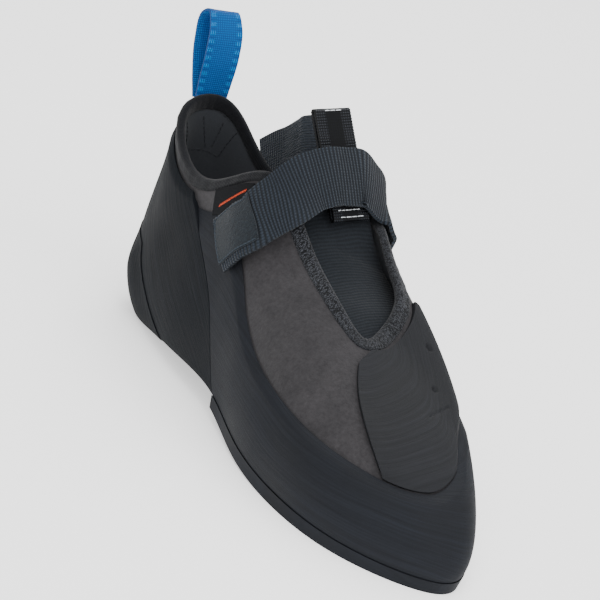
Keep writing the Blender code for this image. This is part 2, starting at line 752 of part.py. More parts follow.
def make_pull_loop():
    """Blue ribbon folded double; both feet are sewn on behind the cuff."""
    foot = layer(0.0, 0.965, BINDING_STAND + LAYER_GAP + LOOP)
    points = [(forward * PULL_HEIGHT, up * PULL_HEIGHT) for _, forward, up in PULL_PATH]
    places = list(range(len(points)))
    forward = through(list(zip(places, [point[0] for point in points])))
    up = through(list(zip(places, [point[1] for point in points])))
    spots = np.linspace(0, places[-1], PULL_STEPS)
    middles = np.array([foot + np.array((forward(k), PULL_LEAN * up(k), up(k))) for k in spots])
    sides = [np.array((0.0, 1.0, 0.0))] * PULL_STEPS
    outer = ribbon(middles, sides, PULL_WIDTH, [0.0] * PULL_STEPS, columns=2)
    inner = thicken(outer, LOOP)
    add_solid("pull_loop", *between(outer, inner), (0.0, 0.130, 0.430), 0.45)


clear_scene()
make_upper()
make_binding()
make_rand()
make_heel_cup()
make_bumper()
make_toe_patch()
make_outsole()
make_insole()
make_tongue()
make_strap()
make_strap_lower_run()
make_tongue_loop()
make_pull_loop()
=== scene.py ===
"""Looks of a one-strap climbing shoe for the right foot: microfibre upper, rubber rand, heel cup and
toe patch, knitted tongue, webbing strap and a blue ribbon to pull it on. Metres, as in the frame."""

import math

import bpy
import numpy as np
from mathutils import Matrix, Vector


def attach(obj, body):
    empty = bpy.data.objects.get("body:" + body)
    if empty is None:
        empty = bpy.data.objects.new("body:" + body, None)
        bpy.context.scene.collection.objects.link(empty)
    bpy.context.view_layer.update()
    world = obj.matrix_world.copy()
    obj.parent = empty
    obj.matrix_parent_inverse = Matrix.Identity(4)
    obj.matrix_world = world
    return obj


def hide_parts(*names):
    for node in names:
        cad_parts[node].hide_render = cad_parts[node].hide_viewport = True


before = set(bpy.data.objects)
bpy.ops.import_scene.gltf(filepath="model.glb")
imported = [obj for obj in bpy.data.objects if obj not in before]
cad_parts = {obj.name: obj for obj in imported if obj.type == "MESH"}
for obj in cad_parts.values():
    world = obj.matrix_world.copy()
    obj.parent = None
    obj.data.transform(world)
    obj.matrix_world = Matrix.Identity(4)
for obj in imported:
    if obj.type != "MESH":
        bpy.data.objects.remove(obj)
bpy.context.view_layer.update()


# Upper: one sock of microfibre, suede-like outside and with a smooth lining inside, pulled over the
# last and glued down under the rubber. Its surface carries every other piece of the shoe.
LENGTH = 0.244
BALL_WIDTH = 0.086
HEEL_WIDTH = 0.056
COLLAR_HEIGHT = 0.096
INSTEP_HEIGHT = 0.094
SOLE_RISE = 0.010
ORIGIN_ALONG = 0.80
STATIONS = 16
TOE = 8.0
UPPER_WALL = 0.0022
BINDING_WIDTH = 0.0075      # down the throat
SEAM = 0.0007
HAIR = 0.0001               # kept between two surfaces that lie on each other
TUCK = 0.0022               # how far the upper runs on inside the binding folded over it
TURN_LENGTH = 0.032         # usual length of one station, for the scale of patterns
WAVE = 0.314                # scale of a wave pattern whose bands lie one unit apart
SUEDE = "363436"
SUEDE_DARK = "252426"
LINING = "313337"

# Stations round the shoe. Feather line: along LENGTH, width followed, share of it, share of the rise
FEATHER = (
    (0.072, HEEL_WIDTH, 0.00, 0.56), (0.100, HEEL_WIDTH, -0.22, 0.56), (0.180, HEEL_WIDTH, -0.35, 0.60),
    (0.320, HEEL_WIDTH, -0.46, 1.05), (0.460, BALL_WIDTH, -0.32, 1.15), (0.610, BALL_WIDTH, -0.40, 0.80),
    (0.755, BALL_WIDTH, -0.41, 0.66), (0.890, BALL_WIDTH, -0.29, 0.62), (0.985, BALL_WIDTH, 0.00, 0.60),
    (0.938, BALL_WIDTH, 0.205, 0.62), (0.835, BALL_WIDTH, 0.345, 0.66), (0.690, BALL_WIDTH, 0.42, 0.80),
    (0.540, BALL_WIDTH, 0.31, 1.35), (0.370, HEEL_WIDTH, 0.36, 1.50), (0.195, HEEL_WIDTH, 0.35, 0.65),
    (0.100, HEEL_WIDTH, 0.22, 0.56),
)
# Top line: along LENGTH, width followed, share of it, height followed, share of it
TOP_LINE = (
    (0.030, HEEL_WIDTH, 0.00, COLLAR_HEIGHT, 1.00), (0.053, HEEL_WIDTH, -0.295, COLLAR_HEIGHT, 0.94),
    (0.148, HEEL_WIDTH, -0.43, COLLAR_HEIGHT, 0.82), (0.262, HEEL_WIDTH, -0.43, COLLAR_HEIGHT, 0.838),
    (0.377, BALL_WIDTH, -0.21, INSTEP_HEIGHT, 1.025), (0.459, BALL_WIDTH, -0.08, INSTEP_HEIGHT, 0.84),
    (0.541, BALL_WIDTH, -0.06, INSTEP_HEIGHT, 0.735), (0.612, BALL_WIDTH, -0.025, INSTEP_HEIGHT, 0.65),
    (0.635, BALL_WIDTH, 0.02, INSTEP_HEIGHT, 0.62), (0.619, BALL_WIDTH, 0.12, INSTEP_HEIGHT, 0.655),
    (0.578, BALL_WIDTH, 0.24, INSTEP_HEIGHT, 0.745), (0.508, BALL_WIDTH, 0.29, INSTEP_HEIGHT, 0.83),
    (0.434, BALL_WIDTH, 0.33, INSTEP_HEIGHT, 0.915), (0.320, BALL_WIDTH, 0.33, INSTEP_HEIGHT, 0.895),
    (0.172, HEEL_WIDTH, 0.39, COLLAR_HEIGHT, 0.78), (0.070, HEEL_WIDTH, 0.22, COLLAR_HEIGHT, 0.94),
)
# Width of the binding: turn on either side of the heel, share of BINDING_WIDTH
BINDING_SHARE = ((0.0, 0.95), (1.0, 0.88), (2.2, 0.82), (3.2, 0.84), (3.9, 0.78), (4.6, 1.00))
# Bulge: how far the lower curve stands out and how high, the same for the upper curve from the top
BULGE = (
    (0.25, 0.24, -0.02, 0.34), (0.20, 0.24, -0.07, 0.34), (0.13, 0.26, -0.01, 0.36), (0.07, 0.26, 0.03, 0.30),
    (0.06, 0.28, 0.12, 0.18), (0.07, 0.30, 0.22, 0.14), (0.08, 0.32, 0.29, 0.17), (0.07, 0.34, 0.34, 0.20),
    (0.05, 0.36, 0.40, 0.22), (0.06, 0.38, 0.34, 0.18), (0.07, 0.38, 0.23, 0.12), (0.06, 0.36, 0.15, 0.12),
    (0.07, 0.36, 0.11, 0.15), (0.08, 0.32, 0.05, 0.25), (0.13, 0.26, -0.01, 0.36), (0.19, 0.24, -0.04, 0.34),
)
# Soft troughs and ridges: turn, share, half length in turns, half height in shares, slant, height mm
CREASES = (
    (6.2, 0.66, 0.50, 0.10, 0.6, -0.45),
    (5.3, 0.62, 0.35, 0.16, 0.4, 0.35),
    (4.8, 0.70, 0.16, 0.20, 0.5, -0.40),
    (7.2, 0.56, 0.34, 0.10, -0.4, 0.30),
    (3.7, 0.34, 0.22, 0.22, 0.3, -0.35),
    (2.5, 0.50, 0.30, 0.20, 0.8, -0.40),
    (1.4, 0.70, 0.35, 0.16, -0.5, -0.45),
    (8.6, 0.70, 0.35, 0.12, 0.4, -0.35),
    (9.5, 0.62, 0.40, 0.16, 0.2, 0.25),
    (11.8, 0.66, 0.30, 0.14, -0.6, -0.40),
    (12.8, 0.60, 0.25, 0.20, -0.4, -0.30),
    (14.6, 0.60, 0.35, 0.18, 0.5, -0.35),
)


def around(values):
    """Smooth closed curve through one value a station, as a function of turn."""
    values = np.asarray(values, float)
    count = len(values)
    system = 4.0 * np.eye(count) + np.roll(np.eye(count), 1, axis=1) + np.roll(np.eye(count), -1, axis=1)
    slopes = np.linalg.solve(system, 3.0 * (np.roll(values, -1, axis=0) - np.roll(values, 1, axis=0)))

    def curve(turn):
        turn = np.mod(np.asarray(turn, float), count)
        low = np.floor(turn).astype(int) % count
        high = (low + 1) % count
        u = (turn - np.floor(turn))[..., None]
        return (
            (1 + 2 * u) * (1 - u) ** 2 * values[low] + u * (1 - u) ** 2 * slopes[low]
            + u * u * (3 - 2 * u) * values[high] + u * u * (u - 1) * slopes[high]
        )
    return curve


UP = np.array((0.0, 0.0, 1.0))
feather = around([((a - ORIGIN_ALONG) * LENGTH, s * w, r * SOLE_RISE) for a, w, s, r in FEATHER])
top_line = around([((a - ORIGIN_ALONG) * LENGTH, s * w, r * h) for a, w, s, h, r in TOP_LINE])
bulge = around(BULGE)


def through(rows):
    """Monotone curve through rows of (place, value), flat past both ends."""
    places, values = np.array(rows, float).T
    chords = np.diff(values) / np.diff(places)
    slopes = np.concatenate((chords[:1], np.zeros(len(places) - 2), chords[-1:]))
    same = chords[:-1] * chords[1:] > 0
    slopes[1:-1][same] = 2 * chords[:-1][same] * chords[1:][same] / (chords[:-1] + chords[1:])[same]

    def curve(place):
        place = np.clip(place, places[0], places[-1])
        k = np.clip(np.searchsorted(places, place) - 1, 0, len(places) - 2)
        span = places[k + 1] - places[k]
        u = (place - places[k]) / span
        return (
            (1 + 2 * u) * (1 - u) ** 2 * values[k] + u * (1 - u) ** 2 * span * slopes[k]
            + u * u * (3 - 2 * u) * values[k + 1] + u * u * (u - 1) * span * slopes[k + 1]
        )
    return curve


binding_share = through(BINDING_SHARE)


def unit(vectors):
    return vectors / np.linalg.norm(vectors, axis=-1, keepdims=True)


def outward(turn):
    along = feather(turn + 0.02) - feather(turn - 0.02)
    return unit(np.stack((along[..., 1], -along[..., 0], np.zeros(along.shape[:-1])), -1))


def skin(turn, share):
    """Outside of the upper: turn runs round the shoe, share from the feather line to the top line."""
    turn, share = np.broadcast_arrays(np.asarray(turn, float), np.asarray(share, float))
    low, high = feather(turn), top_line(turn)
    rise = (high - low)[..., 2:]
    belly, belly_up, reach, drop = np.moveaxis(bulge(turn), -1, 0)[..., None]
    out = outward(turn)
    points = (
        low,
        low + out * belly * BALL_WIDTH + UP * belly_up * rise,
        high + out * reach * BALL_WIDTH - UP * drop * rise,
        high,
    )

    def bezier(u):
        weights = ((1 - u) ** 3, 3 * u * (1 - u) ** 2, 3 * u * u * (1 - u), u ** 3)
        return sum(weight * point for weight, point in zip(weights, points))

    steps = np.linspace(0.0, 1.0, 33)
    curve = np.stack([bezier(u) for u in steps])
    lengths = np.concatenate((
        np.zeros((1, *turn.shape)), np.cumsum(np.linalg.norm(np.diff(curve, axis=0), axis=-1), axis=0)
    ))
    target = share * lengths[-1]
    index = np.clip((lengths < target).sum(0) - 1, 0, len(steps) - 2)
    below = np.take_along_axis(lengths, index[None], 0)[0]
    above = np.take_along_axis(lengths, index[None] + 1, 0)[0]
    u = (index + (target - below) / np.maximum(above - below, 1e-9)) / (len(steps) - 1)
    return bezier(u[..., None])


def normal(turn, share):
    low, high = np.clip(share - 0.02, 0.0, 1.0), np.clip(share + 0.02, 0.0, 1.0)
    across = skin(turn + 0.05, share) - skin(turn - 0.05, share)
    return unit(np.cross(across, skin(turn, high) - skin(turn, low)))


def creased(turn, share):
    """Height of the creases at a place of the skin."""
    total = np.zeros(np.broadcast(turn, share).shape)
    for place, high, length, height, slant, rise in CREASES:
        along = (turn - place - slant * (share - high)) / length
        total += rise * 0.001 * np.exp(-along ** 2 - ((share - high) / height) ** 2)
    return total


def lifted(turn, share, lift):
    """Point lift metres outside the skin, with its creases."""
    turn, share = np.broadcast_arrays(np.asarray(turn, float), np.asarray(share, float))
    amount = np.broadcast_to(lift, turn.shape) + creased(turn, share)
    return skin(turn, share) + normal(turn, share) * amount[..., None]


HEIGHT_TURNS = np.linspace(0.0, STATIONS, 161)
HEIGHTS = np.array([
    np.linalg.norm(np.diff(skin(np.full(25, turn), np.linspace(0, 1, 25)), axis=0), axis=1).sum()
    for turn in HEIGHT_TURNS
])


def height_of(turn):
    """Length of the skin from the feather line to the top line."""
    return np.interp(np.mod(turn, STATIONS), HEIGHT_TURNS, HEIGHTS)


def edge_share(turn):
    """Where the upper ends and its binding begins."""
    from_heel = np.minimum(np.mod(turn, STATIONS), np.mod(-turn, STATIONS))
    return 1.0 - BINDING_WIDTH * binding_share(from_heel) / height_of(turn)


WELD = 1e-5                   # points nearer than this are merged


def mend_mesh(weld=False, face_out=False):
    """Merges what lies together in the active piece and turns its faces outwards."""
    bpy.ops.object.mode_set(mode="EDIT")
    bpy.ops.mesh.select_all(action="SELECT")
    if weld:
        bpy.ops.mesh.remove_doubles(threshold=WELD)
        bpy.ops.mesh.dissolve_degenerate(threshold=WELD / 10)
    if face_out:
        bpy.ops.mesh.normals_make_consistent(inside=False)
    bpy.ops.object.mode_set(mode="OBJECT")


def wrap(name, columns, rows, place, pattern, welded=True):
    """A flat grid cut to size and laid on its place. Its map holds real lengths in metres."""
    bpy.ops.object.select_all(action="DESELECT")
    bpy.ops.mesh.primitive_grid_add(x_subdivisions=columns, y_subdivisions=rows, size=1.0)
    piece = bpy.context.object
    piece.name = piece.data.name = name
    mesh = piece.data
    flat = np.empty(len(mesh.vertices) * 3)
    mesh.vertices.foreach_get("co", flat)
    u, v = flat.reshape(-1, 3)[:, 0] + 0.5, flat.reshape(-1, 3)[:, 1] + 0.5
    mesh.vertices.foreach_set("co", place(u, v).ravel())
    loops = np.empty(len(mesh.loops), int)
    mesh.loops.foreach_get("vertex_index", loops)
    spots = np.stack(pattern(u, v), -1)
    mesh.uv_layers[0].data.foreach_set("uv", spots[loops].ravel())
    mesh.update()
    if welded:
        mend_mesh(weld=True)
    bpy.ops.object.shade_smooth()
    return piece


def apply(piece, kind, **settings):
    """Adds a modifier with its settings and applies it."""
    modifier = piece.modifiers.new(kind.lower(), kind)
    for name, value in settings.items():
        setattr(modifier, name, value)
    bpy.ops.object.select_all(action="DESELECT")
    piece.select_set(True)
    bpy.context.view_layer.objects.active = piece
    bpy.ops.object.modifier_apply(modifier=modifier.name)


EDGE_ANGLE = math.radians(48)     # corners sharper than this are rounded
SMOOTH_ANGLE = math.radians(50)


def round_edges(piece, width):
    apply(piece, "BEVEL", width=width, segments=2, limit_method="ANGLE",
          angle_limit=EDGE_ANGLE, use_clamp_overlap=True)
    bpy.ops.object.shade_smooth_by_angle(angle=SMOOTH_ANGLE)


def linear(hexa):
    """Colour from its sRGB hex value."""
    parts = [int(hexa[k:k + 2], 16) / 255 for k in (0, 2, 4)]
    return (*[c / 12.92 if c <= 0.04045 else ((c + 0.055) / 1.055) ** 2.4 for c in parts], 1.0)


def new_material(name, roughness, **sockets):
    material = bpy.data.materials.new(name)
    material.use_nodes = True
    surface = material.node_tree.nodes["Principled BSDF"]
    surface.inputs["Roughness"].default_value = roughness
    for socket, value in sockets.items():
        surface.inputs[socket.replace("_", " ")].default_value = value
    return material, surface


def connect(material, source, node, socket):
    """Links an output, or a node's factor or first output, to a socket."""
    if isinstance(source, bpy.types.Node):
        source = source.outputs.get("Fac") or source.outputs[0]
    material.node_tree.links.new(source, node.inputs[socket])


def add_node(material, kind, inputs=(), stops=(), **settings):
    """Adds a node: settings go on the node, inputs are (socket, value or source to link), and stops
    are a colour ramp's places and colours in order."""
    node = material.node_tree.nodes.new("ShaderNode" + kind)
    for name, value in settings.items():
        setattr(node, name, value)
    if stops:
        ramp = node.color_ramp.elements
        ramp[0].position, ramp[1].position = stops[0][0], stops[-1][0]
        for position, _ in stops[1:-1]:
            ramp.new(position)
        for element, (_, colour) in zip(ramp, stops):
            element.color = colour
    for socket, value in inputs:
        if isinstance(value, (bpy.types.Node, bpy.types.NodeSocket)):
            connect(material, value, node, socket)
        else:
            node.inputs[socket].default_value = value
    return node


def upper_place(u, v):
    turn = u * STATIONS
    return lifted(turn, v * (edge_share(turn) + TUCK / height_of(turn)), 0.0)


def skin_map(turn, share):
    return turn * TURN_LENGTH, share * height_of(turn)


upper = wrap("upper_microfibre", 288, 56, upper_place, lambda u, v: skin_map(u * STATIONS, v))

# Suede-like microfibre: short nap, so it is matt, mottled by the fingers, with a soft grey sheen
suede, surface = new_material("suede_microfibre", 0.92, Specular_IOR_Level=0.18, Sheen_Weight=0.12,
                              Sheen_Roughness=0.5)
place = add_node(suede, "TexCoord").outputs["Object"]
patches = add_node(suede, "TexNoise", [("Vector", place), ("Scale", 60.0), ("Detail", 5.0),
                                       ("Roughness", 0.7)])
nap = add_node(suede, "TexNoise", [("Vector", place), ("Scale", 620.0), ("Detail", 3.0), ("Roughness", 0.7)])
grain = add_node(suede, "TexNoise", [("Vector", place), ("Scale", 1500.0), ("Detail", 2.0)])
tone = add_node(suede, "ValToRGB", [("Fac", patches)],
                stops=((0.20, linear(SUEDE_DARK)), (0.80, linear(SUEDE))))
speckle = add_node(suede, "MapRange", [("Value", nap), ("From Min", 0.3), ("From Max", 0.7),
                                       ("To Min", 0.78), ("To Max", 1.22)])
shade = add_node(suede, "VectorMath", [(0, tone), ("Scale", speckle)], operation="SCALE")
connect(suede, shade, surface, "Base Color")
rough = add_node(suede, "Bump", [("Height", nap), ("Strength", 0.5), ("Distance", 0.0003)])
fine = add_node(suede, "Bump", [("Height", grain), ("Strength", 0.4), ("Distance", 0.0002),
                                ("Normal", rough)])
connect(suede, fine, surface, "Normal")

# Lining: smooth charcoal tricot, seen inside the collar
lining, surface = new_material("tricot_lining", 0.9, Specular_IOR_Level=0.15, Sheen_Weight=0.1)
surface.inputs["Base Color"].default_value = linear(LINING)
knit = add_node(lining, "TexNoise", [("Vector", add_node(lining, "TexCoord").outputs["Object"]),
                                     ("Scale", 900.0), ("Detail", 2.0)])
fine = add_node(lining, "Bump", [("Height", knit), ("Strength", 0.4), ("Distance", 0.0003)])
connect(lining, fine, surface, "Normal")

upper.data.materials.append(suede)
upper.data.materials.append(lining)
apply(upper, "SOLIDIFY", thickness=UPPER_WALL, offset=-1.0, material_offset=1)
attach(upper, "root")
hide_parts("upper")


# Heel pad: a cushion quilted to the lining behind the heel, by seams of grey thread
PAD_THREAD = 0.00018         # radius of the sewing thread
STITCH = 0.0021              # length of one stitch
PAD_SEAMS = (                # turn and share of both ends of each seam
    ((0.55, 0.945), (-0.75, 0.925)), ((0.40, 0.730), (-0.65, 0.735)), ((0.95, 0.945), (0.40, 0.730)),
    ((-1.00, 0.930), (-0.65, 0.735)), ((0.18, 0.900), (-0.22, 0.745)), ((-0.55, 0.900), (-0.40, 0.760)),
)


def thread(name, place_of, length, radius, stitch=STITCH):
    """Sewn thread along a path: it stands up in each stitch and dives into the cloth between two."""
    count = max(int(length / stitch), 1)

    def place(u, v):
        middle, out = place_of(u)
        ahead, behind = place_of(np.clip(u + 0.002, 0, 1))[0], place_of(np.clip(u - 0.002, 0, 1))[0]
        side = np.cross(unit(ahead - behind), out)
        hump = np.abs(np.sin(math.pi * u * count))
        thick = radius * np.clip(np.minimum(u, 1 - u) * count * 8, 0.001, 1.0)
        angle = v * 2 * math.pi
        rise = radius * (2.2 * hump ** 0.5 - 1.6) + thick * np.cos(angle)
        return middle + out * rise[:, None] + side * (thick * np.sin(angle))[:, None]
    piece = wrap(name, count * 8, 8, place, lambda u, v: (u * length, v * radius * 6))
    mend_mesh(face_out=True)
    return piece


def join_pieces(name, pieces):
    bpy.ops.object.select_all(action="DESELECT")
    for piece in pieces:
        piece.select_set(True)
    bpy.context.view_layer.objects.active = pieces[0]
    bpy.ops.object.join()
    joined = bpy.context.object
    joined.name = joined.data.name = name
    return joined


def thread_finish(name, colour, roughness=0.6):
    material, surface = new_material(name, roughness, Specular_IOR_Level=0.25)
    place = add_node(material, "TexCoord").outputs["UV"]
    twist = add_node(material, "TexWave", [("Vector", place), ("Scale", 500.0)], bands_direction="DIAGONAL")
    dark = (*[0.7 * part for part in linear(colour)[:3]], 1.0)
    tone = add_node(material, "ValToRGB", [("Fac", twist)], stops=((0.0, linear(colour)), (1.0, dark)))
    connect(material, tone, surface, "Base Color")
    return material


def skin_seam(start, end, lift, outwards=1.0):
    """Straight seam on the skin between two places (turn, share), and its length."""
    def place_of(u):
        turn, share = start[0] + (end[0] - start[0]) * u, start[1] + (end[1] - start[1]) * u
        return lifted(turn, share, lift), normal(turn, share) * outwards
    ends = lifted(np.array((start[0], end[0])), np.array((start[1], end[1])), lift)
    return place_of, float(np.linalg.norm(ends[1] - ends[0]))


seams = [skin_seam(start, end, -UPPER_WALL, -1.0) for start, end in PAD_SEAMS]
pad_seams = join_pieces("heel_pad_seams", [
    thread("pad_seam_%d" % number, place_of, length, PAD_THREAD)
    for number, (place_of, length) in enumerate(seams)
])
pad_seams.data.materials.append(thread_finish("grey_sewing_thread", "25272B"))
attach(pad_seams, "root")


# Binding: a knitted tape folded over thin foam and sewn round the collar and down the throat, with
# its braided edge showing. It is thicker than the upper and rounded at the rim.
BINDING_STAND = 0.0007
JERSEY_DARK = "0B0C0F"
JERSEY_LIGHT = "131418"
BRAID_DARK = "0D0E10"
BRAID_LIGHT = "494B51"
# Section of the tape: share of its width, share of its half thickness, round from outside to inside
TAPE = (
    (0.00, 0.55), (0.03, 0.85), (0.14, 1.00), (0.45, 1.02), (0.70, 1.08), (0.88, 0.86),
    (0.97, 0.48), (1.00, 0.00), (0.97, -0.48), (0.88, -0.86), (0.70, -1.05), (0.40, -1.00),
    (0.14, -0.95), (0.03, -0.80), (0.00, -0.50), (0.00, 0.00), (0.00, 0.55),
)


def binding_place(u, v):
    turn = u * STATIONS
    spots = np.linspace(0.0, 1.0, len(TAPE))
    width = np.interp(v, spots, [row[0] for row in TAPE])
    stand = np.interp(v, spots, [row[1] for row in TAPE])
    start = edge_share(turn) + SEAM / height_of(turn)
    share = start + (1 - start) * width
    half = UPPER_WALL / 2 + BINDING_STAND
    wave = 1.0 + 0.05 * np.sin(turn * 23.0) * np.sin(turn * 7.0)
    return lifted(turn, share, -UPPER_WALL / 2 + half * stand * wave)


binding = wrap("collar_and_throat_binding", 448, 48, binding_place,
               lambda u, v: (u * STATIONS * TURN_LENGTH, v * BINDING_WIDTH * 3.2))

# Knitted tape: round the collar a jersey with wales 0.9 mm apart, down the throat braided loops of
# about 0.6 by 0.9 mm; matt with a soft nap
WALE = 0.0009
BRAID_LOOPS = (1800.0, 1150.0, 1.0)     # loops a metre, along and across
tape, surface = new_material("knitted_tape", 0.95, Specular_IOR_Level=0.12, Sheen_Weight=0.10)
cloth = add_node(tape, "TexCoord").outputs["UV"]
braid = add_node(tape, "Mapping", [("Vector", cloth), ("Rotation", (0.0, 0.0, 0.8)),
                                   ("Scale", BRAID_LOOPS)])
loops = add_node(tape, "TexVoronoi", [("Vector", braid), ("Scale", 1.0), ("Randomness", 0.75)])
wales = add_node(tape, "TexWave", [("Vector", cloth), ("Scale", WAVE / WALE), ("Distortion", 1.5),
                                   ("Detail", 2.0), ("Detail Scale", 2.0)], bands_direction="X")
fuzz = add_node(tape, "TexNoise", [("Vector", add_node(tape, "TexCoord").outputs["Object"]), ("Scale", 900.0),
                                   ("Detail", 3.0)])
where = add_node(tape, "SeparateXYZ", [("Vector", cloth)])
off = add_node(tape, "Math", [(0, where.outputs["X"]), (1, TOE * TURN_LENGTH)], operation="SUBTRACT")
away = add_node(tape, "Math", [(0, off)], operation="ABSOLUTE")
collar = add_node(tape, "MapRange", [("Value", away), ("From Min", 3.8 * TURN_LENGTH),
                                     ("From Max", 4.0 * TURN_LENGTH)])
jersey = add_node(tape, "ValToRGB", [("Fac", wales)],
                  stops=((0.0, linear(JERSEY_DARK)), (1.0, linear(JERSEY_LIGHT))))
coarse = add_node(tape, "ValToRGB", [("Fac", loops)],
                  stops=((0.08, linear(BRAID_LIGHT)), (0.62, linear(BRAID_DARK))))
tone = add_node(tape, "Mix", [("Factor", collar), (6, coarse), (7, jersey)], data_type="RGBA")
connect(tape, tone.outputs[2], surface, "Base Color")
soft = add_node(tape, "Math", [(0, wales), (1, 0.35)], operation="MULTIPLY")
depth = add_node(tape, "Math", [(0, 1.0), (1, loops)], operation="SUBTRACT")
relief = add_node(tape, "Mix", [("Factor", collar), (2, depth), (3, soft)], data_type="FLOAT")
rough = add_node(tape, "Bump", [("Height", relief), ("Strength", 0.6), ("Distance", 0.0004)])
fine = add_node(tape, "Bump", [("Height", fuzz), ("Strength", 0.5), ("Distance", 0.0003),
                               ("Normal", rough)])
connect(tape, fine, surface, "Normal")
binding.data.materials.append(tape)
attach(binding, "root")
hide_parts("collar_binding")


# Label: a black woven label sewn under the collar on the outer side, folded at its front end, with a
# plain slanted bar of orange satin stitch and no lettering
LABEL_LIFT = 0.0006
LABEL_SIZE = (0.017, 0.010)
LABEL_YARN = 0.0005
LABEL_CLOTH = "0C0D10"
ORANGE = "F0501E"
LABEL_ENDS = ((3.13, 0.925, 3.24, 0.775), (3.60, 0.925, 3.60, 0.768), (3.84, 0.925, 3.88, 0.855))


def label_place(u, v):
    """v runs from its top edge, hidden by the binding, to its lower edge."""
    places = np.array((0.0, 0.62, 1.0))
    high_turn, high, low_turn, low = [np.interp(u, places, column) for column in np.array(LABEL_ENDS).T]
    return lifted(high_turn + (low_turn - high_turn) * v, high + (low - high) * v, LABEL_LIFT)


label = wrap("woven_label", 60, 24, label_place,
             lambda u, v: (u * LABEL_SIZE[0], v * LABEL_SIZE[1]), welded=False)
apply(label, "SOLIDIFY", thickness=LABEL_LIFT - HAIR, offset=-1.0)
woven, surface = new_material("black_woven_label", 0.85, Specular_IOR_Level=0.15)
surface.inputs["Base Color"].default_value = linear(LABEL_CLOTH)
rows = add_node(woven, "TexWave", [("Vector", add_node(woven, "TexCoord").outputs["UV"]),
                                   ("Scale", WAVE / LABEL_YARN)], bands_direction="Y")
fine = add_node(woven, "Bump", [("Height", rows), ("Strength", 0.4), ("Distance", 0.0002)])
connect(woven, fine, surface, "Normal")
label.data.materials.append(woven)
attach(label, "root")

# Satin stitches of the bar: short slanted threads side by side, and a short one beyond the fold
SATIN = ((3.315, 0.798, 3.365, 0.852), (3.725, 0.866, 3.760, 0.908))     # first and last stitch
SATIN_COUNT = 17
SATIN_THREAD = 0.00030
SATIN_STITCH = 0.02           # longer than any of them, so that each is one hump
stitches = []
for number in range(SATIN_COUNT):
    place = number / (SATIN_COUNT - 1)
    low_turn, low, high_turn, high = [(1 - place) * a + place * b for a, b in zip(*SATIN)]
    stitches.append(skin_seam((low_turn, low), (high_turn, high), LABEL_LIFT + HAIR))
stitches.append(skin_seam((3.83, 0.878), (3.84, 0.905), LABEL_LIFT + HAIR))
bar = join_pieces("orange_satin_bar", [
    thread("satin_%d" % number, place_of, length, SATIN_THREAD, SATIN_STITCH)
    for number, (place_of, length) in enumerate(stitches)
])
bar.data.materials.append(thread_finish("orange_thread", ORANGE, 0.5))
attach(bar, "root")


# Rand: a tray of 1.8 mm rubber stretched round the sides and under the foot, its upper edge ground
# thin before it was glued, and the whole of it sanded lengthwise. Its rear edge meets the heel cup at a
# narrow seam.
LAYER_GAP = 0.0005
RUBBER = 0.0018
UNDERFOOT_BOW = 0.0012
RUBBER_COLOUR = "16181D"
RUBBER_LIGHT = "1C1F25"
RUBBER_DARK = "111317"
# Upper edge: turn, share of the skin
RAND_TOP = (
    (2.9, 0.82), (3.5, 0.76), (4.3, 0.56), (4.7, 0.46), (5.4, 0.40), (6.4, 0.36), (7.2, 0.33), (8.0, 0.30),
    (8.4, 0.36), (8.9, 0.46), (9.8, 0.48), (10.8, 0.44), (11.6, 0.44), (12.4, 0.56), (13.2, 0.70),
)
# Seam with the heel cup: share of the skin, turn on the outer side, on the inner side
CUP_SEAM = (
    (0.00, 4.05, 12.00), (0.20, 3.82, 12.22), (0.40, 3.58, 12.45), (0.60, 3.25, 12.75), (0.82, 2.85, 13.15),
    (0.96, 2.45, 13.60),
)
SEAM_TURN = SEAM / (LENGTH / STATIONS)
RAND_EDGE, RAND_FADE = 0.22, 0.16     # share of its thickness left at the edge, ground over this share
SEAM_LEFT = 0.35              # share of the seam's width that the looks leave open
BALL = 5.0


rand_top = through(RAND_TOP)
seam_outer = through([(share, outer) for share, outer, _ in CUP_SEAM])
seam_inner = through([(share, inner) for share, _, inner in CUP_SEAM])


def meeting(height, top, seam):
    """Turn where a slanted seam crosses the row at this share of a wall's height."""
    turn = seam(height)
    for _ in range(12):
        turn = seam(height * top(turn))
    return turn


def sole_point(turn, across, depth):
    """Point under the foot, from the outer side at turn to the inner side."""
    outer, inner = feather(turn), feather(STATIONS - turn)
    a = across[..., None]
    width = np.linalg.norm(outer - inner, axis=-1)
    bow = UNDERFOOT_BOW * 4 * across * (1 - across) * np.minimum(1.0, width / HEEL_WIDTH)
    return outer * (1 - a) + inner * a - UP * (depth + bow)[..., None]


WALL, CORNER = 0.36, 0.05     # shares of a row that lie on each wall and round each corner


def tray_row(u, v, rows):
    """Way in from the nearer end of a row, height up the wall, and the turns of both walls and here."""
    side = v > 0.5
    w = np.where(side, 1 - v, v)
    height = np.clip(1 - w / WALL, 0.0, 1.0)
    outer, inner = rows(u, height)
    return w, height, outer, inner, np.where(side, inner, outer)


def tray(u, v, rows, top, lift):
    """Place on a rubber tray: u along it, v down the outer side, under the foot and up the inner
    side. lift is a function of u and the share of the wall's height."""
    w, height, outer, inner, turn = tray_row(u, v, rows)
    stand = np.broadcast_to(lift(u, height), turn.shape)
    wall = lifted(turn, height * top(turn), stand)
    mix = np.clip((w - WALL) / CORNER, 0.0, 1.0)[..., None]
    corner = feather(turn) + unit(normal(turn, 0.0 * turn) * (1 - mix) - UP * mix) * stand[..., None]
    across = np.clip((v - WALL - CORNER) / (1 - 2 * WALL - 2 * CORNER), 0.0, 1.0)
    under = sole_point(outer * (1 - across) + (STATIONS - inner) * across, across, stand)
    first = (w <= WALL)[..., None]
    second = (w <= WALL + CORNER)[..., None]
    return np.where(first, wall, np.where(second, corner, under))


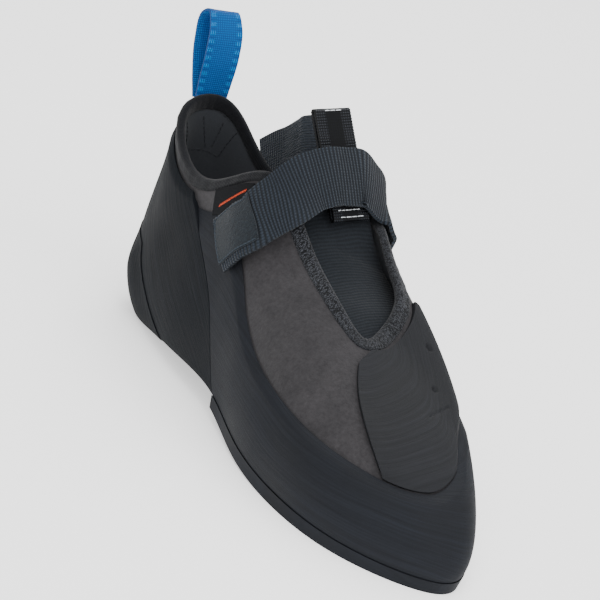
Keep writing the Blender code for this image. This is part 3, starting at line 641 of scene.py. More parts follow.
def tray_map(u, v, rows, top):
    """Real lengths round the shoe and up its wall, below zero under the foot."""
    w, height, _, _, turn = tray_row(u, v, rows)
    drop = np.clip(w - WALL, 0.0, 1.0) * 0.2
    return turn * TURN_LENGTH, height * top(turn) * height_of(turn) - drop


def rand_rows(u, height):
    ahead = 0.35
    near = np.clip(u / ahead, 0.0, 1.0)
    far = np.clip((u - ahead) / (1 - ahead), 0.0, 1.0) * (TOE - BALL)
    outer = meeting(height, rand_top, seam_outer) + SEAM_LEFT * SEAM_TURN
    inner = meeting(height, rand_top, seam_inner) - SEAM_LEFT * SEAM_TURN
    return outer + (BALL - outer) * near + far, inner + (STATIONS - BALL - inner) * near - far


def rand_thickness(u, height):
    """Ground thin over the last few millimetres below the upper edge."""
    return RAND_EDGE + (1 - RAND_EDGE) * np.clip((1 - height) / RAND_FADE, 0.0, 1.0) ** 0.8


def rubber_tray(name, columns, rows_across, rows, top, start, wall, thickness, lowest=None):
    """Tray of rubber from the lift start outwards, its wall shared out by a vertex group."""
    def place(u, v):
        points = tray(u, v, rows, top, lambda a, h: start + wall * thickness(a, h))
        if lowest is not None:
            points[:, 2] = np.maximum(points[:, 2], lowest)
        return points
    piece = wrap(name, columns, rows_across, place, lambda u, v: tray_map(u, v, rows, top),
                 welded=False)
    columns_u = np.tile(np.linspace(0, 1, columns + 1), rows_across + 1)
    rows_v = np.repeat(np.linspace(0, 1, rows_across + 1), columns + 1)
    w = np.where(rows_v > 0.5, 1 - rows_v, rows_v)
    group = piece.vertex_groups.new(name="wall")
    for index, share in enumerate(thickness(columns_u, np.clip(1 - w / WALL, 0.0, 1.0))):
        group.add([index], float(share), "REPLACE")
    mend_mesh(weld=True, face_out=True)
    apply(piece, "SOLIDIFY", thickness=wall, offset=-1.0, vertex_group="wall", thickness_vertex_group=0.0)
    return piece


def rubber_finish(name, slant, along, up, light=RUBBER_LIGHT, dark=RUBBER_DARK,
                  middle=RUBBER_COLOUR, shine=0.17):
    """Sanded rubber: matt, blue-grey, with fine scratches that run one way. slant turns them, along
    and up are their lengths in millimetres."""
    material, surface = new_material(name, 0.75, Specular_IOR_Level=shine)
    cloth = add_node(material, "TexCoord").outputs["UV"]
    place = add_node(material, "TexCoord").outputs["Object"]
    sway = add_node(material, "TexNoise", [("Vector", place), ("Scale", 16.0), ("Detail", 1.0)])
    bend = add_node(material, "VectorMath", [(0, sway.outputs["Color"]), ("Scale", 0.012)], operation="SCALE")
    bent = add_node(material, "VectorMath", [(0, cloth), (1, bend)], operation="ADD")
    lay = add_node(material, "Mapping", [("Vector", bent), ("Rotation", (0.0, 0.0, slant))])
    fine = add_node(material, "Mapping", [("Vector", lay), ("Scale", (1000 / along, 1000 / up, 1.0))])
    coarse = add_node(material, "Mapping", [("Vector", lay), ("Scale", (300 / along, 330 / up, 1.0))])
    scratch = add_node(material, "TexNoise", [("Vector", fine), ("Scale", 1.0), ("Detail", 3.0),
                                              ("Roughness", 0.65)])
    band = add_node(material, "TexNoise", [("Vector", coarse), ("Scale", 1.0), ("Detail", 3.0)])
    cloud = add_node(material, "TexNoise", [("Vector", place), ("Scale", 26.0), ("Detail", 3.0)])
    mixed = add_node(material, "Math", [(0, scratch), (1, band)], operation="ADD")
    total = add_node(material, "Math", [(0, mixed), (1, cloud)], operation="ADD")
    spread = add_node(material, "MapRange", [("Value", total), ("From Min", 1.0), ("From Max", 2.0)])
    tone = add_node(material, "ValToRGB", [("Fac", spread)],
                    stops=((0.15, linear(dark)), (0.5, linear(middle)), (0.9, linear(light))))
    connect(material, tone, surface, "Base Color")
    polish = add_node(material, "MapRange", [("Value", cloud), ("From Min", 0.3), ("From Max", 0.7),
                                             ("To Min", 0.66), ("To Max", 0.82)])
    connect(material, polish, surface, "Roughness")
    grit = add_node(material, "TexNoise", [("Vector", place), ("Scale", 1400.0), ("Detail", 2.0)])
    first = add_node(material, "Bump", [("Height", mixed), ("Strength", 0.55), ("Distance", 0.00035)])
    second = add_node(material, "Bump", [("Height", grit), ("Strength", 0.25), ("Distance", 0.0001),
                                         ("Normal", first)])
    connect(material, second, surface, "Normal")
    return material


# The looks close most of the clearance that the solids keep under each layer
CLOSE = 0.0004
rand = rubber_tray("rubber_rand", 220, 120, rand_rows, rand_top, LAYER_GAP - CLOSE, RUBBER + CLOSE,
                   rand_thickness)
rand.data.materials.append(rubber_finish("sanded_rand_rubber", 0.05, 26.0, 0.5))
round_edges(rand, 0.0003)
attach(rand, "root")
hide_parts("rand")


# Heel cup: one moulded sheet of rubber drawn over the heel and under the arch, sanded aslant.
CUP_EDGE, CUP_FADE = 0.35, 0.05     # as for the rand
CUP_CROWD = 1.3                     # draws the rows of its mesh nearer to the heel


def cup_top(turn):
    return edge_share(turn) - SEAM / height_of(turn)


def cup_rows(u, height):
    spread = u ** CUP_CROWD
    outer = meeting(height, cup_top, seam_outer)
    inner = meeting(height, cup_top, seam_inner)
    return spread * outer, STATIONS - spread * (STATIONS - inner)


def cup_thickness(u, height):
    return CUP_EDGE + (1 - CUP_EDGE) * np.clip((1 - height) / CUP_FADE, 0.0, 1.0)


heel_cup = rubber_tray("rubber_heel_cup", 120, 150, cup_rows, cup_top, LAYER_GAP - CLOSE, RUBBER + CLOSE,
                       cup_thickness)
# Its colours are darker than the rand's: painted shade that offsets the stronger light on the heel
heel_cup.data.materials.append(rubber_finish("sanded_heel_rubber", 0.75, 22.0, 0.5,
                                             "14171C", "0B0D11", "0F1216", 0.11))
round_edges(heel_cup, 0.0003)
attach(heel_cup, "root")
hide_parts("heel_cup")


# Heel bumper: a thicker cap of rubber round the bottom of the heel, ground down to nothing at its
# front and top edges, and worn flat where it stands.
BUMPER = 0.0026
BUMPER_TOP = 0.38
BUMPER_FADE = 0.45
BUMPER_END = 0.10
BUMPER_EDGE = ((0.00, 2.55), (0.10, 2.30), (0.20, 2.05), (0.32, 1.70), (0.38, 1.58))
bumper_edge = through(BUMPER_EDGE)


def bumper_rows(u, height):
    outer = bumper_edge(height * BUMPER_TOP)
    return u * outer, STATIONS - u * outer


def bumper_thickness(u, height):
    fade = np.clip((np.maximum(u, height) - BUMPER_FADE) / (1 - BUMPER_FADE), 0.0, 1.0)
    return 1 - (1 - BUMPER_END) * fade * fade * (3 - 2 * fade)


bumper = rubber_tray("rubber_heel_bumper", 70, 110, bumper_rows, lambda turn: BUMPER_TOP + 0 * turn,
                     2 * LAYER_GAP + RUBBER - CLOSE, BUMPER + CLOSE, bumper_thickness, lowest=0.0)
# Its colours are darker than the rand's: painted shade that offsets the stronger light and floor glow on the
# heel
bumper.data.materials.append(rubber_finish("ground_bumper_rubber", 1.2, 18.0, 0.6,
                                           "12151A", "0A0C10", "0E1115", 0.10))
round_edges(bumper, 0.00025)
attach(bumper, "root")
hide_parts("heel_bumper")


# Toe patch: a sheet of thinner rubber glued over the toes for hooking, sanded across the foot.
PATCH = 0.0014
PATCH_FALL = 0.0008           # ground down along the edge that meets the rand
PATCH_EDGE = ((0.00, 7.50, 11.20), (0.50, 7.46, 10.90), (0.85, 7.56, 10.45), (1.00, 7.95, 10.20))
patch_outer = through([(share, outer) for share, outer, _ in PATCH_EDGE])
patch_inner = through([(share, inner) for share, _, inner in PATCH_EDGE])


def patch_spot(u, v):
    left, right = patch_outer(v), patch_inner(v)
    turn = left + (right - left) * u
    low = rand_top(turn) + SEAM / height_of(turn)
    return turn, low + (cup_top(turn) - low) * v


# Small dents that wear has left: turn and share of both ends, depth and half width in metres
DENTS = (
    (9.55, 0.79, 9.55, 0.80, 0.0013, 0.0010), (8.85, 0.69, 8.86, 0.69, 0.0013, 0.0010),
    (8.35, 0.61, 9.05, 0.59, 0.0005, 0.0004),
)


def patch_place(u, v):
    turn, share = patch_spot(u, v)
    here = skin(turn, share)
    lift = LAYER_GAP + PATCH - PATCH_FALL * np.exp(-(v / 0.04) ** 2)
    for turn_a, share_a, turn_b, share_b, depth, reach in DENTS:
        start = skin(turn_a, share_a)
        run = skin(turn_b, share_b) - start
        along = np.clip(((here - start) @ run) / (run @ run), 0.0, 1.0)
        off = np.linalg.norm(here - start - along[..., None] * run, axis=-1)
        lift = lift - depth * np.exp(-(off / reach) ** 2)
    return lifted(turn, share, lift)


patch = wrap("rubber_toe_patch", 120, 90, patch_place, lambda u, v: skin_map(*patch_spot(u, v)))
apply(patch, "SOLIDIFY", thickness=PATCH + CLOSE, offset=-1.0)
patch.data.materials.append(rubber_finish("sanded_patch_rubber", -0.5, 24.0, 0.5,
                                          "232428", "18191B", "1D1E21"))
round_edges(patch, 0.0003)
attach(patch, "root")
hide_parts("toe_patch")


# Outsole: 4 mm climbing rubber under the forefoot, its edge ground flush with the rand, leaving a
# thin line between the two. Its underside is smooth and worn flat.
OUTSOLE = 0.0040
OUTSOLE_LIP = 0.0002
OUTSOLE_BEVEL = 0.0008
OUTSOLE_START = 4.1
OUTSOLE_RISE = 0.0014         # rubber pressed up round the edge, against the rand
OUTSOLE_RISE_WIDTH = 0.0025
GAP = 0.0003
SOLE_MAP = (0.13, 0.08)       # usual length and width under the foot, for the scale of patterns


def sole_sheet(name, columns, rows, start, end, stand, depth, lowest, rise=0.0):
    def place(u, v):
        turn = start + (end - start) * u
        outer = feather(turn) + outward(turn) * stand
        inner = feather(STATIONS - turn) + outward(STATIONS - turn) * stand
        a = v[..., None]
        width = np.linalg.norm(feather(turn) - feather(STATIONS - turn), axis=-1)
        bow = UNDERFOOT_BOW * 4 * v * (1 - v) * np.minimum(1.0, width / HEEL_WIDTH)
        from_edge = np.minimum(np.minimum(v, 1 - v) * (width + 2 * stand), (end - turn) * TURN_LENGTH)
        up = rise * np.clip(1 - from_edge / OUTSOLE_RISE_WIDTH, 0.0, 1.0)
        points = outer * (1 - a) + inner * a - UP * (depth + bow - up)[..., None]
        points[:, 2] = np.maximum(points[:, 2], lowest)
        return points
    return wrap(name, columns, rows, place, lambda u, v: (u * SOLE_MAP[0], v * SOLE_MAP[1]), welded=False)


def join_sheets(name, upper_sheet, lower_sheet):
    """Bridges two sheets of the same cut along their edges into one solid."""
    piece = join_pieces(name, [upper_sheet, lower_sheet])
    bpy.ops.object.mode_set(mode="EDIT")
    bpy.ops.mesh.select_all(action="SELECT")
    bpy.ops.mesh.select_non_manifold(extend=False)
    bpy.ops.mesh.bridge_edge_loops()
    bpy.ops.object.mode_set(mode="OBJECT")
    mend_mesh(weld=True, face_out=True)
    bpy.ops.object.shade_smooth_by_angle(angle=SMOOTH_ANGLE)
    return piece


edge = LAYER_GAP + RUBBER + OUTSOLE_LIP
top_of_sole = LAYER_GAP + RUBBER + HAIR
foot_of_sole = LAYER_GAP + RUBBER + GAP + OUTSOLE
sole_top = sole_sheet("sole_top", 110, 40, OUTSOLE_START, TOE, edge, top_of_sole, 0.0, OUTSOLE_RISE)
sole_low = sole_sheet("sole_low", 110, 40, OUTSOLE_START, TOE, edge - OUTSOLE_BEVEL, foot_of_sole, 0.0)
outsole = join_sheets("rubber_outsole", sole_top, sole_low)
outsole.data.materials.append(rubber_finish("smooth_sole_rubber", 0.0, 34.0, 0.8))
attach(outsole, "root")
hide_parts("outsole")


# Insole: a board lined with thin felt, lying in the rubber trays. Only its heel end shows.
INSOLE = 0.0014
FELT_DARK = "2E2C2A"
FELT_LIGHT = "45423E"
INSOLE_INSET = -(UPPER_WALL + 2 * GAP)
INSOLE_START, INSOLE_END = 0.6, TOE - 0.4
NO_FLOOR = -1.0               # the insole never reaches the floor, so nothing holds it up
insole_top = sole_sheet("insole_top", 90, 24, INSOLE_START, INSOLE_END, INSOLE_INSET, -GAP - INSOLE,
                        NO_FLOOR)
insole_low = sole_sheet("insole_low", 90, 24, INSOLE_START, INSOLE_END, INSOLE_INSET, -GAP, NO_FLOOR)
insole = join_sheets("felt_insole", insole_top, insole_low)
felt, surface = new_material("felt_insole_board", 0.95, Specular_IOR_Level=0.1)
place = add_node(felt, "TexCoord").outputs["Object"]
fibre = add_node(felt, "TexNoise", [("Vector", place), ("Scale", 700.0), ("Detail", 4.0)])
tone = add_node(felt, "ValToRGB", [("Fac", fibre)],
                stops=((0.35, linear(FELT_DARK)), (0.65, linear(FELT_LIGHT))))
connect(felt, tone, surface, "Base Color")
fine = add_node(felt, "Bump", [("Height", fibre), ("Strength", 0.6), ("Distance", 0.0003)])
connect(felt, fine, surface, "Normal")
insole.data.materials.append(felt)
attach(insole, "root")
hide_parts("insole")


# Tongue: a stretch knit with a layer of foam, ribbed across, that fills the throat. Its front end
# lies under the vamp and its free end stands up behind the strap.
TONGUE = 0.0024
TONGUE_CROWN = 0.0034
TONGUE_SINK = 0.0044
TONGUE_SINK_END = 2.4
TONGUE_REACH = 0.20
TONGUE_FRONT, TONGUE_BACK = TOE - 0.6, 4.4
TONGUE_NARROWING = 0.08
TONGUE_TIP = ((0.009, 42), (0.010, 52), (0.009, 58))     # length of each free step, slope in degrees
TONGUE_ROW = 0.0014          # from one rib of the knit to the next
TONGUE_STITCH = 0.0011       # width of one loop of the knit
TONGUE_SKEW = 0.45           # shift of the rows for each metre across
TONGUE_DARK = "15181C"
TONGUE_LIGHT = "1F2328"


def tongue_spine():
    """Both edges and the crown of the tongue, row by row from its front end to its tip."""
    rows = []
    depth = UPPER_WALL + BINDING_STAND + 3 * GAP
    for turn in np.linspace(TONGUE_FRONT, TONGUE_BACK, 25):
        ahead = TOE - turn
        share = 1 - TONGUE_REACH * (0.5 + 0.5 * min(1.0, ahead / 1.5))
        lower = depth + TONGUE_SINK * max(0.0, 1 - ahead / TONGUE_SINK_END)
        left = skin(turn, share) - normal(turn, share) * lower
        right = skin(STATIONS - turn, share) - normal(STATIONS - turn, share) * lower
        crown = TONGUE_CROWN * min(1.0, np.linalg.norm(right - left) / BALL_WIDTH * 2) ** 2
        rows.append((*left, *right, crown))
    for step, slope in TONGUE_TIP:
        left, right, crown = np.array(rows[-1][:3]), np.array(rows[-1][3:6]), rows[-1][6]
        middle = (left + right) / 2 + UP * crown
        angle = math.radians(slope)
        move = np.array((-math.cos(angle), 0.0, math.sin(angle))) * step
        left = left + (middle - left) * TONGUE_NARROWING + move
        right = right + (middle - right) * TONGUE_NARROWING + move
        rows.append((*left, *right, crown * (1 - TONGUE_NARROWING)))
    return np.array(rows)


def smooth_path(points, spots):
    """Smooth curve through the points, in step with the length between them. spots run 0 to 1."""
    points = np.asarray(points, float)
    lengths = np.concatenate(((0.0,), np.cumsum(np.linalg.norm(np.diff(points[:, :3], axis=0), axis=1))))
    slopes = np.gradient(points, lengths, axis=0)
    place = np.asarray(spots) * lengths[-1]
    k = np.clip(np.searchsorted(lengths, place) - 1, 0, len(lengths) - 2)
    span = (lengths[k + 1] - lengths[k])[..., None]
    u = ((place - lengths[k]) / span[..., 0])[..., None]
    return (
        (1 + 2 * u) * (1 - u) ** 2 * points[k] + u * (1 - u) ** 2 * span * slopes[k]
        + u * u * (3 - 2 * u) * points[k + 1] + u * u * (u - 1) * span * slopes[k + 1]
    )


SPINE = tongue_spine()
TONGUE_LENGTH = np.linalg.norm(np.diff((SPINE[:, :3] + SPINE[:, 3:6]) / 2, axis=0), axis=1).sum()
TONGUE_WIDTH = 0.045


def tongue_place(u, v):
    spine = smooth_path(SPINE, u)
    left, right, crown = spine[:, :3], spine[:, 3:6], spine[:, 6]
    a = v[:, None]
    corner = np.clip((u - 0.93) / 0.07, 0.0, 1.0) ** 2 * 0.10        # rounded corners of the free end
    squeezed = corner[:, None] + (1 - 2 * corner[:, None]) * a
    return (
        left * (1 - squeezed) + right * squeezed
        + UP * (crown * 4 * v * (1 - v))[:, None]
    )


tongue = wrap("knitted_tongue", 440, 56, tongue_place,
              lambda u, v: (u * TONGUE_LENGTH - TONGUE_SKEW * v * TONGUE_WIDTH, v * TONGUE_WIDTH),
              welded=False)
apply(tongue, "SOLIDIFY", thickness=TONGUE, offset=1.0)
round_edges(tongue, 0.0006)

# Ribbed stretch knit: rows 1.4 mm apart of loops 1.1 mm wide, matt, near black with a blue cast
stretch, surface = new_material("ribbed_stretch_knit", 0.93, Specular_IOR_Level=0.12, Sheen_Weight=0.12)
cloth = add_node(stretch, "TexCoord").outputs["UV"]
sway = add_node(stretch, "TexNoise", [("Vector", cloth), ("Scale", 70.0), ("Detail", 3.0)])
bend = add_node(stretch, "VectorMath", [(0, sway.outputs["Color"]), ("Scale", 0.0022)], operation="SCALE")
bent = add_node(stretch, "VectorMath", [(0, cloth), (1, bend)], operation="ADD")
rows = add_node(stretch, "TexWave", [("Vector", bent), ("Scale", WAVE / TONGUE_ROW)], bands_direction="X")
loops_map = add_node(stretch, "Mapping", [("Vector", bent),
                                          ("Scale", (1 / TONGUE_ROW, 1 / TONGUE_STITCH, 1.0))])
loops = add_node(stretch, "TexVoronoi", [("Vector", loops_map), ("Scale", 1.0), ("Randomness", 0.5)])
height = add_node(stretch, "Math", [(0, rows), (1, 0.9)], operation="MULTIPLY")
total = add_node(stretch, "Math", [(0, height), (1, loops)], operation="SUBTRACT")
spread = add_node(stretch, "MapRange", [("Value", total), ("From Min", -0.5), ("From Max", 0.8)])
tone = add_node(stretch, "ValToRGB", [("Fac", spread)],
                stops=((0.0, linear(TONGUE_DARK)), (1.0, linear(TONGUE_LIGHT))))
connect(stretch, tone, surface, "Base Color")
fine = add_node(stretch, "Bump", [("Height", spread), ("Strength", 0.5), ("Distance", 0.0003)])
connect(stretch, fine, surface, "Normal")
tongue.data.materials.append(stretch)
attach(tongue, "root")
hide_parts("tongue")


# Strap: ribbed polyester webbing 24 mm wide, sewn on the inner side and drawn over the instep to
# the outer side, where a fuzzy patch on its end holds it.
STRAP_WIDTH = 0.0238
STRAP = 0.0016
STRAP_SLOPE = -1.15
RIB = 0.0015                 # from one rib to the next
RIB_HEIGHT = 0.00012
YARN = 0.0011                # from one yarn of a rib to the next
WEB_DARK = "080C11"
WEB_LIGHT = "252D37"
# Middle of the strap from its tab: along LENGTH, across BALL_WIDTH, up INSTEP_HEIGHT, bow
STRAP_TOP = (
    (0.374, -0.378, 0.675, 0.055), (0.400, -0.369, 0.772, 0.060), (0.422, -0.317, 0.867, 0.060),
    (0.426, -0.212, 0.965, 0.045), (0.416, -0.064, 1.051, 0.030), (0.411, 0.075, 1.080, 0.020),
    (0.407, 0.200, 1.080, 0.020), (0.406, 0.314, 1.027, 0.030), (0.407, 0.394, 0.956, 0.030),
    (0.404, 0.415, 0.880, 0.030), (0.398, 0.412, 0.800, 0.030), (0.392, 0.402, 0.725, 0.030),
)
# How far the pulled webbing is skewed: share of the way along it, shift ahead for each metre across
STRAP_SKEW = ((0.0, 0.10), (0.18, 0.22), (0.28, 0.40), (0.38, 0.28), (0.47, 0.12), (0.60, 0.0), (1.0, 0.0))
strap_skew = through(STRAP_SKEW)
# How far its width is turned aslant: share of the way along it, shift to the inner side
STRAP_LEAN = (
    (0.0, -0.12), (0.1, -0.20), (0.2, -0.36), (0.3, -0.28), (0.4, 0.00), (0.7, 0.10), (0.85, 0.04),
    (1.0, 0.00),
)
strap_lean = through(STRAP_LEAN)


def route(rows, spots):
    """Places of a strap's middle line, and its last column, in the order of the rows."""
    points = np.array([
        ((along - ORIGIN_ALONG) * LENGTH, across * BALL_WIDTH, up * INSTEP_HEIGHT, last)
        for along, across, up, last in rows
    ])
    places = np.arange(len(points))
    return np.stack([
        through(np.stack((places, points[:, k]), -1))(np.asarray(spots) * places[-1]) for k in range(4)
    ], -1)


def even_spots(rows):
    """Spots along a route that lie equally far apart, and its length."""
    spots = np.linspace(0.0, 1.0, 801)
    steps = np.linalg.norm(np.diff(route(rows, spots)[:, :3], axis=0), axis=1)
    lengths = np.concatenate(((0.0,), np.cumsum(steps)))
    return lambda u: np.interp(u * lengths[-1], lengths, spots), lengths[-1]


def strap_travel(u, v, length):
    """How far along the webbing a rib lies that crosses this place."""
    return u * length + strap_skew(u) * (v - 0.5) * STRAP_WIDTH


def straight_travel(u, v, length):
    return u * length


def webbing(rows, side_of, bow_of, travel, ribs=1.0, lift=0.0):
    """Place function of a band of webbing along its route, with its ribs standing up."""
    spot_of, length = even_spots(rows)

    def place(u, v):
        spot = spot_of(u)
        here = route(rows, spot)
        ahead = route(rows, np.clip(spot + 0.012, 0, 1))[:, :3]
        behind = route(rows, np.clip(spot - 0.012, 0, 1))[:, :3]
        forward = unit(ahead - behind)
        side = side_of(spot, here)
        side = unit(side - forward * (forward * side).sum(-1, keepdims=True))
        out = np.cross(side, forward)
        w = v * 2 - 1
        stand = bow_of(here) * (1 - w * w) + lift
        rib = np.sin(travel(u, v, length) / RIB * 2 * math.pi)
        flat_edge = np.clip((1 - np.abs(w)) / 0.08, 0.0, 1.0)
        stand = stand + ribs * RIB_HEIGHT * rib * flat_edge
        return here[:, :3] + side * (w * STRAP_WIDTH / 2)[:, None] + out * stand[:, None]
    return place, length


def strap_side(spot, here):
    return np.stack((np.ones(len(spot)), strap_lean(spot), np.full(len(spot), STRAP_SLOPE)), -1)


def strap_bow(here):
    return here[:, 3] * STRAP_WIDTH


strap_place, STRAP_LENGTH = webbing(STRAP_TOP, strap_side, strap_bow, strap_travel)
strap = wrap("webbing_strap", 620, 34, strap_place,
             lambda u, v: (strap_travel(u, v, STRAP_LENGTH), v * STRAP_WIDTH), welded=False)
apply(strap, "SOLIDIFY", thickness=STRAP, offset=1.0)
round_edges(strap, 0.0004)

# Ribbed webbing: ribs 1.5 mm apart across it, each of twisted yarns, slightly glossy, dark navy
web, surface = new_material("ribbed_webbing", 0.78, Specular_IOR_Level=0.22, Sheen_Weight=0.06)
cloth = add_node(web, "TexCoord").outputs["UV"]
ribs = add_node(web, "TexWave", [("Vector", cloth), ("Scale", WAVE / RIB)], bands_direction="X")
yarns = add_node(web, "TexWave", [("Vector", cloth), ("Scale", WAVE / YARN)], bands_direction="Y")
fuzz = add_node(web, "TexNoise", [("Vector", add_node(web, "TexCoord").outputs["Object"]), ("Scale", 1200.0),
                                  ("Detail", 2.0)])
cross = add_node(web, "Math", [(0, ribs), (1, yarns)], operation="MULTIPLY")
height = add_node(web, "Math", [(0, cross), (1, 1.3), (2, ribs)], operation="MULTIPLY_ADD")
total = add_node(web, "Math", [(0, fuzz), (1, 0.5), (2, height)], operation="MULTIPLY_ADD")
spread = add_node(web, "MapRange", [("Value", total), ("From Min", 0.2), ("From Max", 2.3)])
tone = add_node(web, "ValToRGB", [("Fac", spread)],
                stops=((0.0, linear(WEB_DARK)), (1.0, linear(WEB_LIGHT))))
connect(web, tone, surface, "Base Color")
fine = add_node(web, "Bump", [("Height", total), ("Strength", 0.7), ("Distance", 0.0003)])
connect(web, fine, surface, "Normal")
strap.data.materials.append(web)
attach(strap, "root")
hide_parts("strap")

# Tab: a patch of brushed loop cloth sewn on the strap's end, lighter than the webbing, whose ribs
# show along its lower edge
TAB = (0.0008, 0.0222)       # where it starts and ends along the strap, counted like its ribs
TAB_EDGES = (0.045, 0.875)   # where it starts and ends across the strap
TAB_THICK = 0.0007
FLUFF_DARK = "0B1015"
FLUFF_LIGHT = "192128"
flat_place, _ = webbing(STRAP_TOP, strap_side, strap_bow, straight_travel, ribs=0.0,
                        lift=TAB_THICK + HAIR)


def tab_spot(u, v, grow=0.0):
    """Place along and across the strap of a spot on the tab, grown by this much all round."""
    across = TAB_EDGES[0] - grow / STRAP_WIDTH + (TAB_EDGES[1] - TAB_EDGES[0] + 2 * grow / STRAP_WIDTH) * v
    travel = TAB[0] - grow + (TAB[1] - TAB[0] + 2 * grow) * u
    along = travel / STRAP_LENGTH
    for _ in range(3):
        along = (travel - strap_skew(along) * (across - 0.5) * STRAP_WIDTH) / STRAP_LENGTH
    return np.clip(along, 0.0, 1.0), across


tab = wrap("brushed_tab", 60, 70, lambda u, v: flat_place(*tab_spot(u, v)),
           lambda u, v: (u * (TAB[1] - TAB[0]), v * STRAP_WIDTH), welded=False)
apply(tab, "SOLIDIFY", thickness=TAB_THICK, offset=1.0)
round_edges(tab, 0.0003)
brushed, surface = new_material("brushed_loop_cloth", 0.97, Specular_IOR_Level=0.08, Sheen_Weight=0.12,
                                Sheen_Roughness=0.6)
place = add_node(brushed, "TexCoord").outputs["Object"]
fluff = add_node(brushed, "TexNoise", [("Vector", place), ("Scale", 1100.0), ("Detail", 4.0),
                                       ("Roughness", 0.75)])
tone = add_node(brushed, "ValToRGB", [("Fac", fluff)],
                stops=((0.35, linear(FLUFF_DARK)), (0.65, linear(FLUFF_LIGHT))))
connect(brushed, tone, surface, "Base Color")
fine = add_node(brushed, "Bump", [("Height", fluff), ("Strength", 0.9), ("Distance", 0.0005)])
connect(brushed, fine, surface, "Normal")
tab.data.materials.append(brushed)
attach(tab, "root")

# Seams just inside three edges of the tab, in dark blue thread
TAB_SEAMS = (((0.0, 0.0), (0.0, 1.0)), ((0.0, 1.0), (1.0, 1.0)), ((0.0, 0.0), (1.0, 0.0)))
TAB_INSET = 0.0006
TAB_THREAD = 0.00022
TAB_STITCH = 0.0016
web_place, _ = webbing(STRAP_TOP, strap_side, strap_bow, straight_travel, ribs=0.0, lift=HAIR)


def tab_seam(start, end):
    def place_of(u):
        along, across = (start[k] + (end[k] - start[k]) * u for k in (0, 1))
        spot = tab_spot(along, across, -TAB_INSET)
        point = flat_place(*spot)
        return point, unit(point - web_place(*spot))
    ends = place_of(np.array((0.0, 1.0)))[0]
    return place_of, float(np.linalg.norm(ends[1] - ends[0]))


tab_seams = join_pieces("tab_seams", [
    thread("tab_seam_%d" % number, *tab_seam(*ends), TAB_THREAD, TAB_STITCH)
    for number, ends in enumerate(TAB_SEAMS)
])
tab_seams.data.materials.append(thread_finish("blue_grey_thread", "2E3842"))
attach(tab_seams, "root")

# Lower run: the same webbing from the inner side of the heel up to the back of the tongue loop
STRAP_LOW = (
    (0.060, 0.345, 0.730, -2.6), (0.110, 0.335, 0.835, -2.4), (0.195, 0.235, 0.965, -2.0),
    (0.265, 0.130, 1.055, -1.6), (0.318, 0.085, 1.115, -1.4), (0.3385, 0.066, 1.136, -1.2),
)


def low_side(spot, here):
    return np.stack((np.ones(len(spot)), np.zeros(len(spot)), here[:, 3]), -1)


low_place, LOW_LENGTH = webbing(STRAP_LOW, low_side, lambda here: 0.0 * here[:, 3], straight_travel)
low_run = wrap("webbing_lower_run", 420, 30, low_place,
               lambda u, v: (u * LOW_LENGTH, v * STRAP_WIDTH), welded=False)
apply(low_run, "SOLIDIFY", thickness=STRAP, offset=1.0)
round_edges(low_run, 0.0004)
low_run.data.materials.append(web)
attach(low_run, "root")
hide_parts("strap_lower_run")


# Tongue loop: 17.5 mm black satin ribbon doubled into a flat ring, its lower fold sewn to the tongue
# below the strap. Its selvedges are knurled and its middle is smooth.
LOOP_WIDTH = 0.0175
LOOP = 0.0010
LOOP_LOW = (0.4365, 0.160, 0.904)
LOOP_HIGH = (0.3225, 0.086, 1.287)
LOOP_DEPTH = 0.0027
LOOP_KNURL = 0.0012          # from one knurl of the selvedges to the next
LOOP_SELVEDGE = 0.00012      # how far the selvedges stand up


def place_in_shoe(shares):
    along, across, up = shares
    return np.array(((along - ORIGIN_ALONG) * LENGTH, across * BALL_WIDTH, up * INSTEP_HEIGHT))


loop_low, loop_high = place_in_shoe(LOOP_LOW), place_in_shoe(LOOP_HIGH)
loop_rise = unit(loop_high - loop_low)
loop_side = unit(np.array((0.0, 1.0, 0.0)) - loop_rise * loop_rise[1])
loop_front = np.cross(loop_side, loop_rise)
LOOP_REACH = np.linalg.norm(loop_high - loop_low) / 2
LOOP_STRAIGHT = 2 * (LOOP_REACH - LOOP_DEPTH / 2)
LOOP_ROUND = 2 * LOOP_STRAIGHT + math.pi * LOOP_DEPTH


def loop_place(u, v):
    """u runs round the ring: up the front, over the top, down the back and under."""
    ring = LOOP_DEPTH / 2
    travel = u * LOOP_ROUND
    arc = math.pi * ring
    straight = LOOP_STRAIGHT
    first = travel < straight
    second = travel < straight + arc
    third = travel < 2 * straight + arc
    angle = np.where(second, (travel - straight) / ring, (travel - 2 * straight - arc) / ring)
    up = np.where(first, travel - straight / 2, np.where(
        second, straight / 2 + ring * np.sin(angle), np.where(
            third, straight * 1.5 + arc - travel, -straight / 2 - ring * np.sin(angle))))
    out = np.where(first, ring, np.where(
        second, ring * np.cos(angle), np.where(third, -ring, -ring * np.cos(angle))))
    w = v * 2 - 1
    edge = np.clip((np.abs(w) - 0.42) / 0.08, 0.0, 1.0)
    stand = LOOP_SELVEDGE * edge * (1 + np.sin(travel / LOOP_KNURL * 2 * math.pi))
    out = out + np.sign(out) * stand
    return (
        (loop_low + loop_high) / 2 + loop_rise * up[:, None] + loop_front * out[:, None]
        + loop_side * (w * LOOP_WIDTH / 2)[:, None]
    )


tongue_loop = wrap("satin_tongue_loop", 420, 34, loop_place,
                   lambda u, v: (u * LOOP_ROUND, v * LOOP_WIDTH))
mend_mesh(face_out=True)
apply(tongue_loop, "SOLIDIFY", thickness=LOOP, offset=-1.0)
round_edges(tongue_loop, 0.0003)


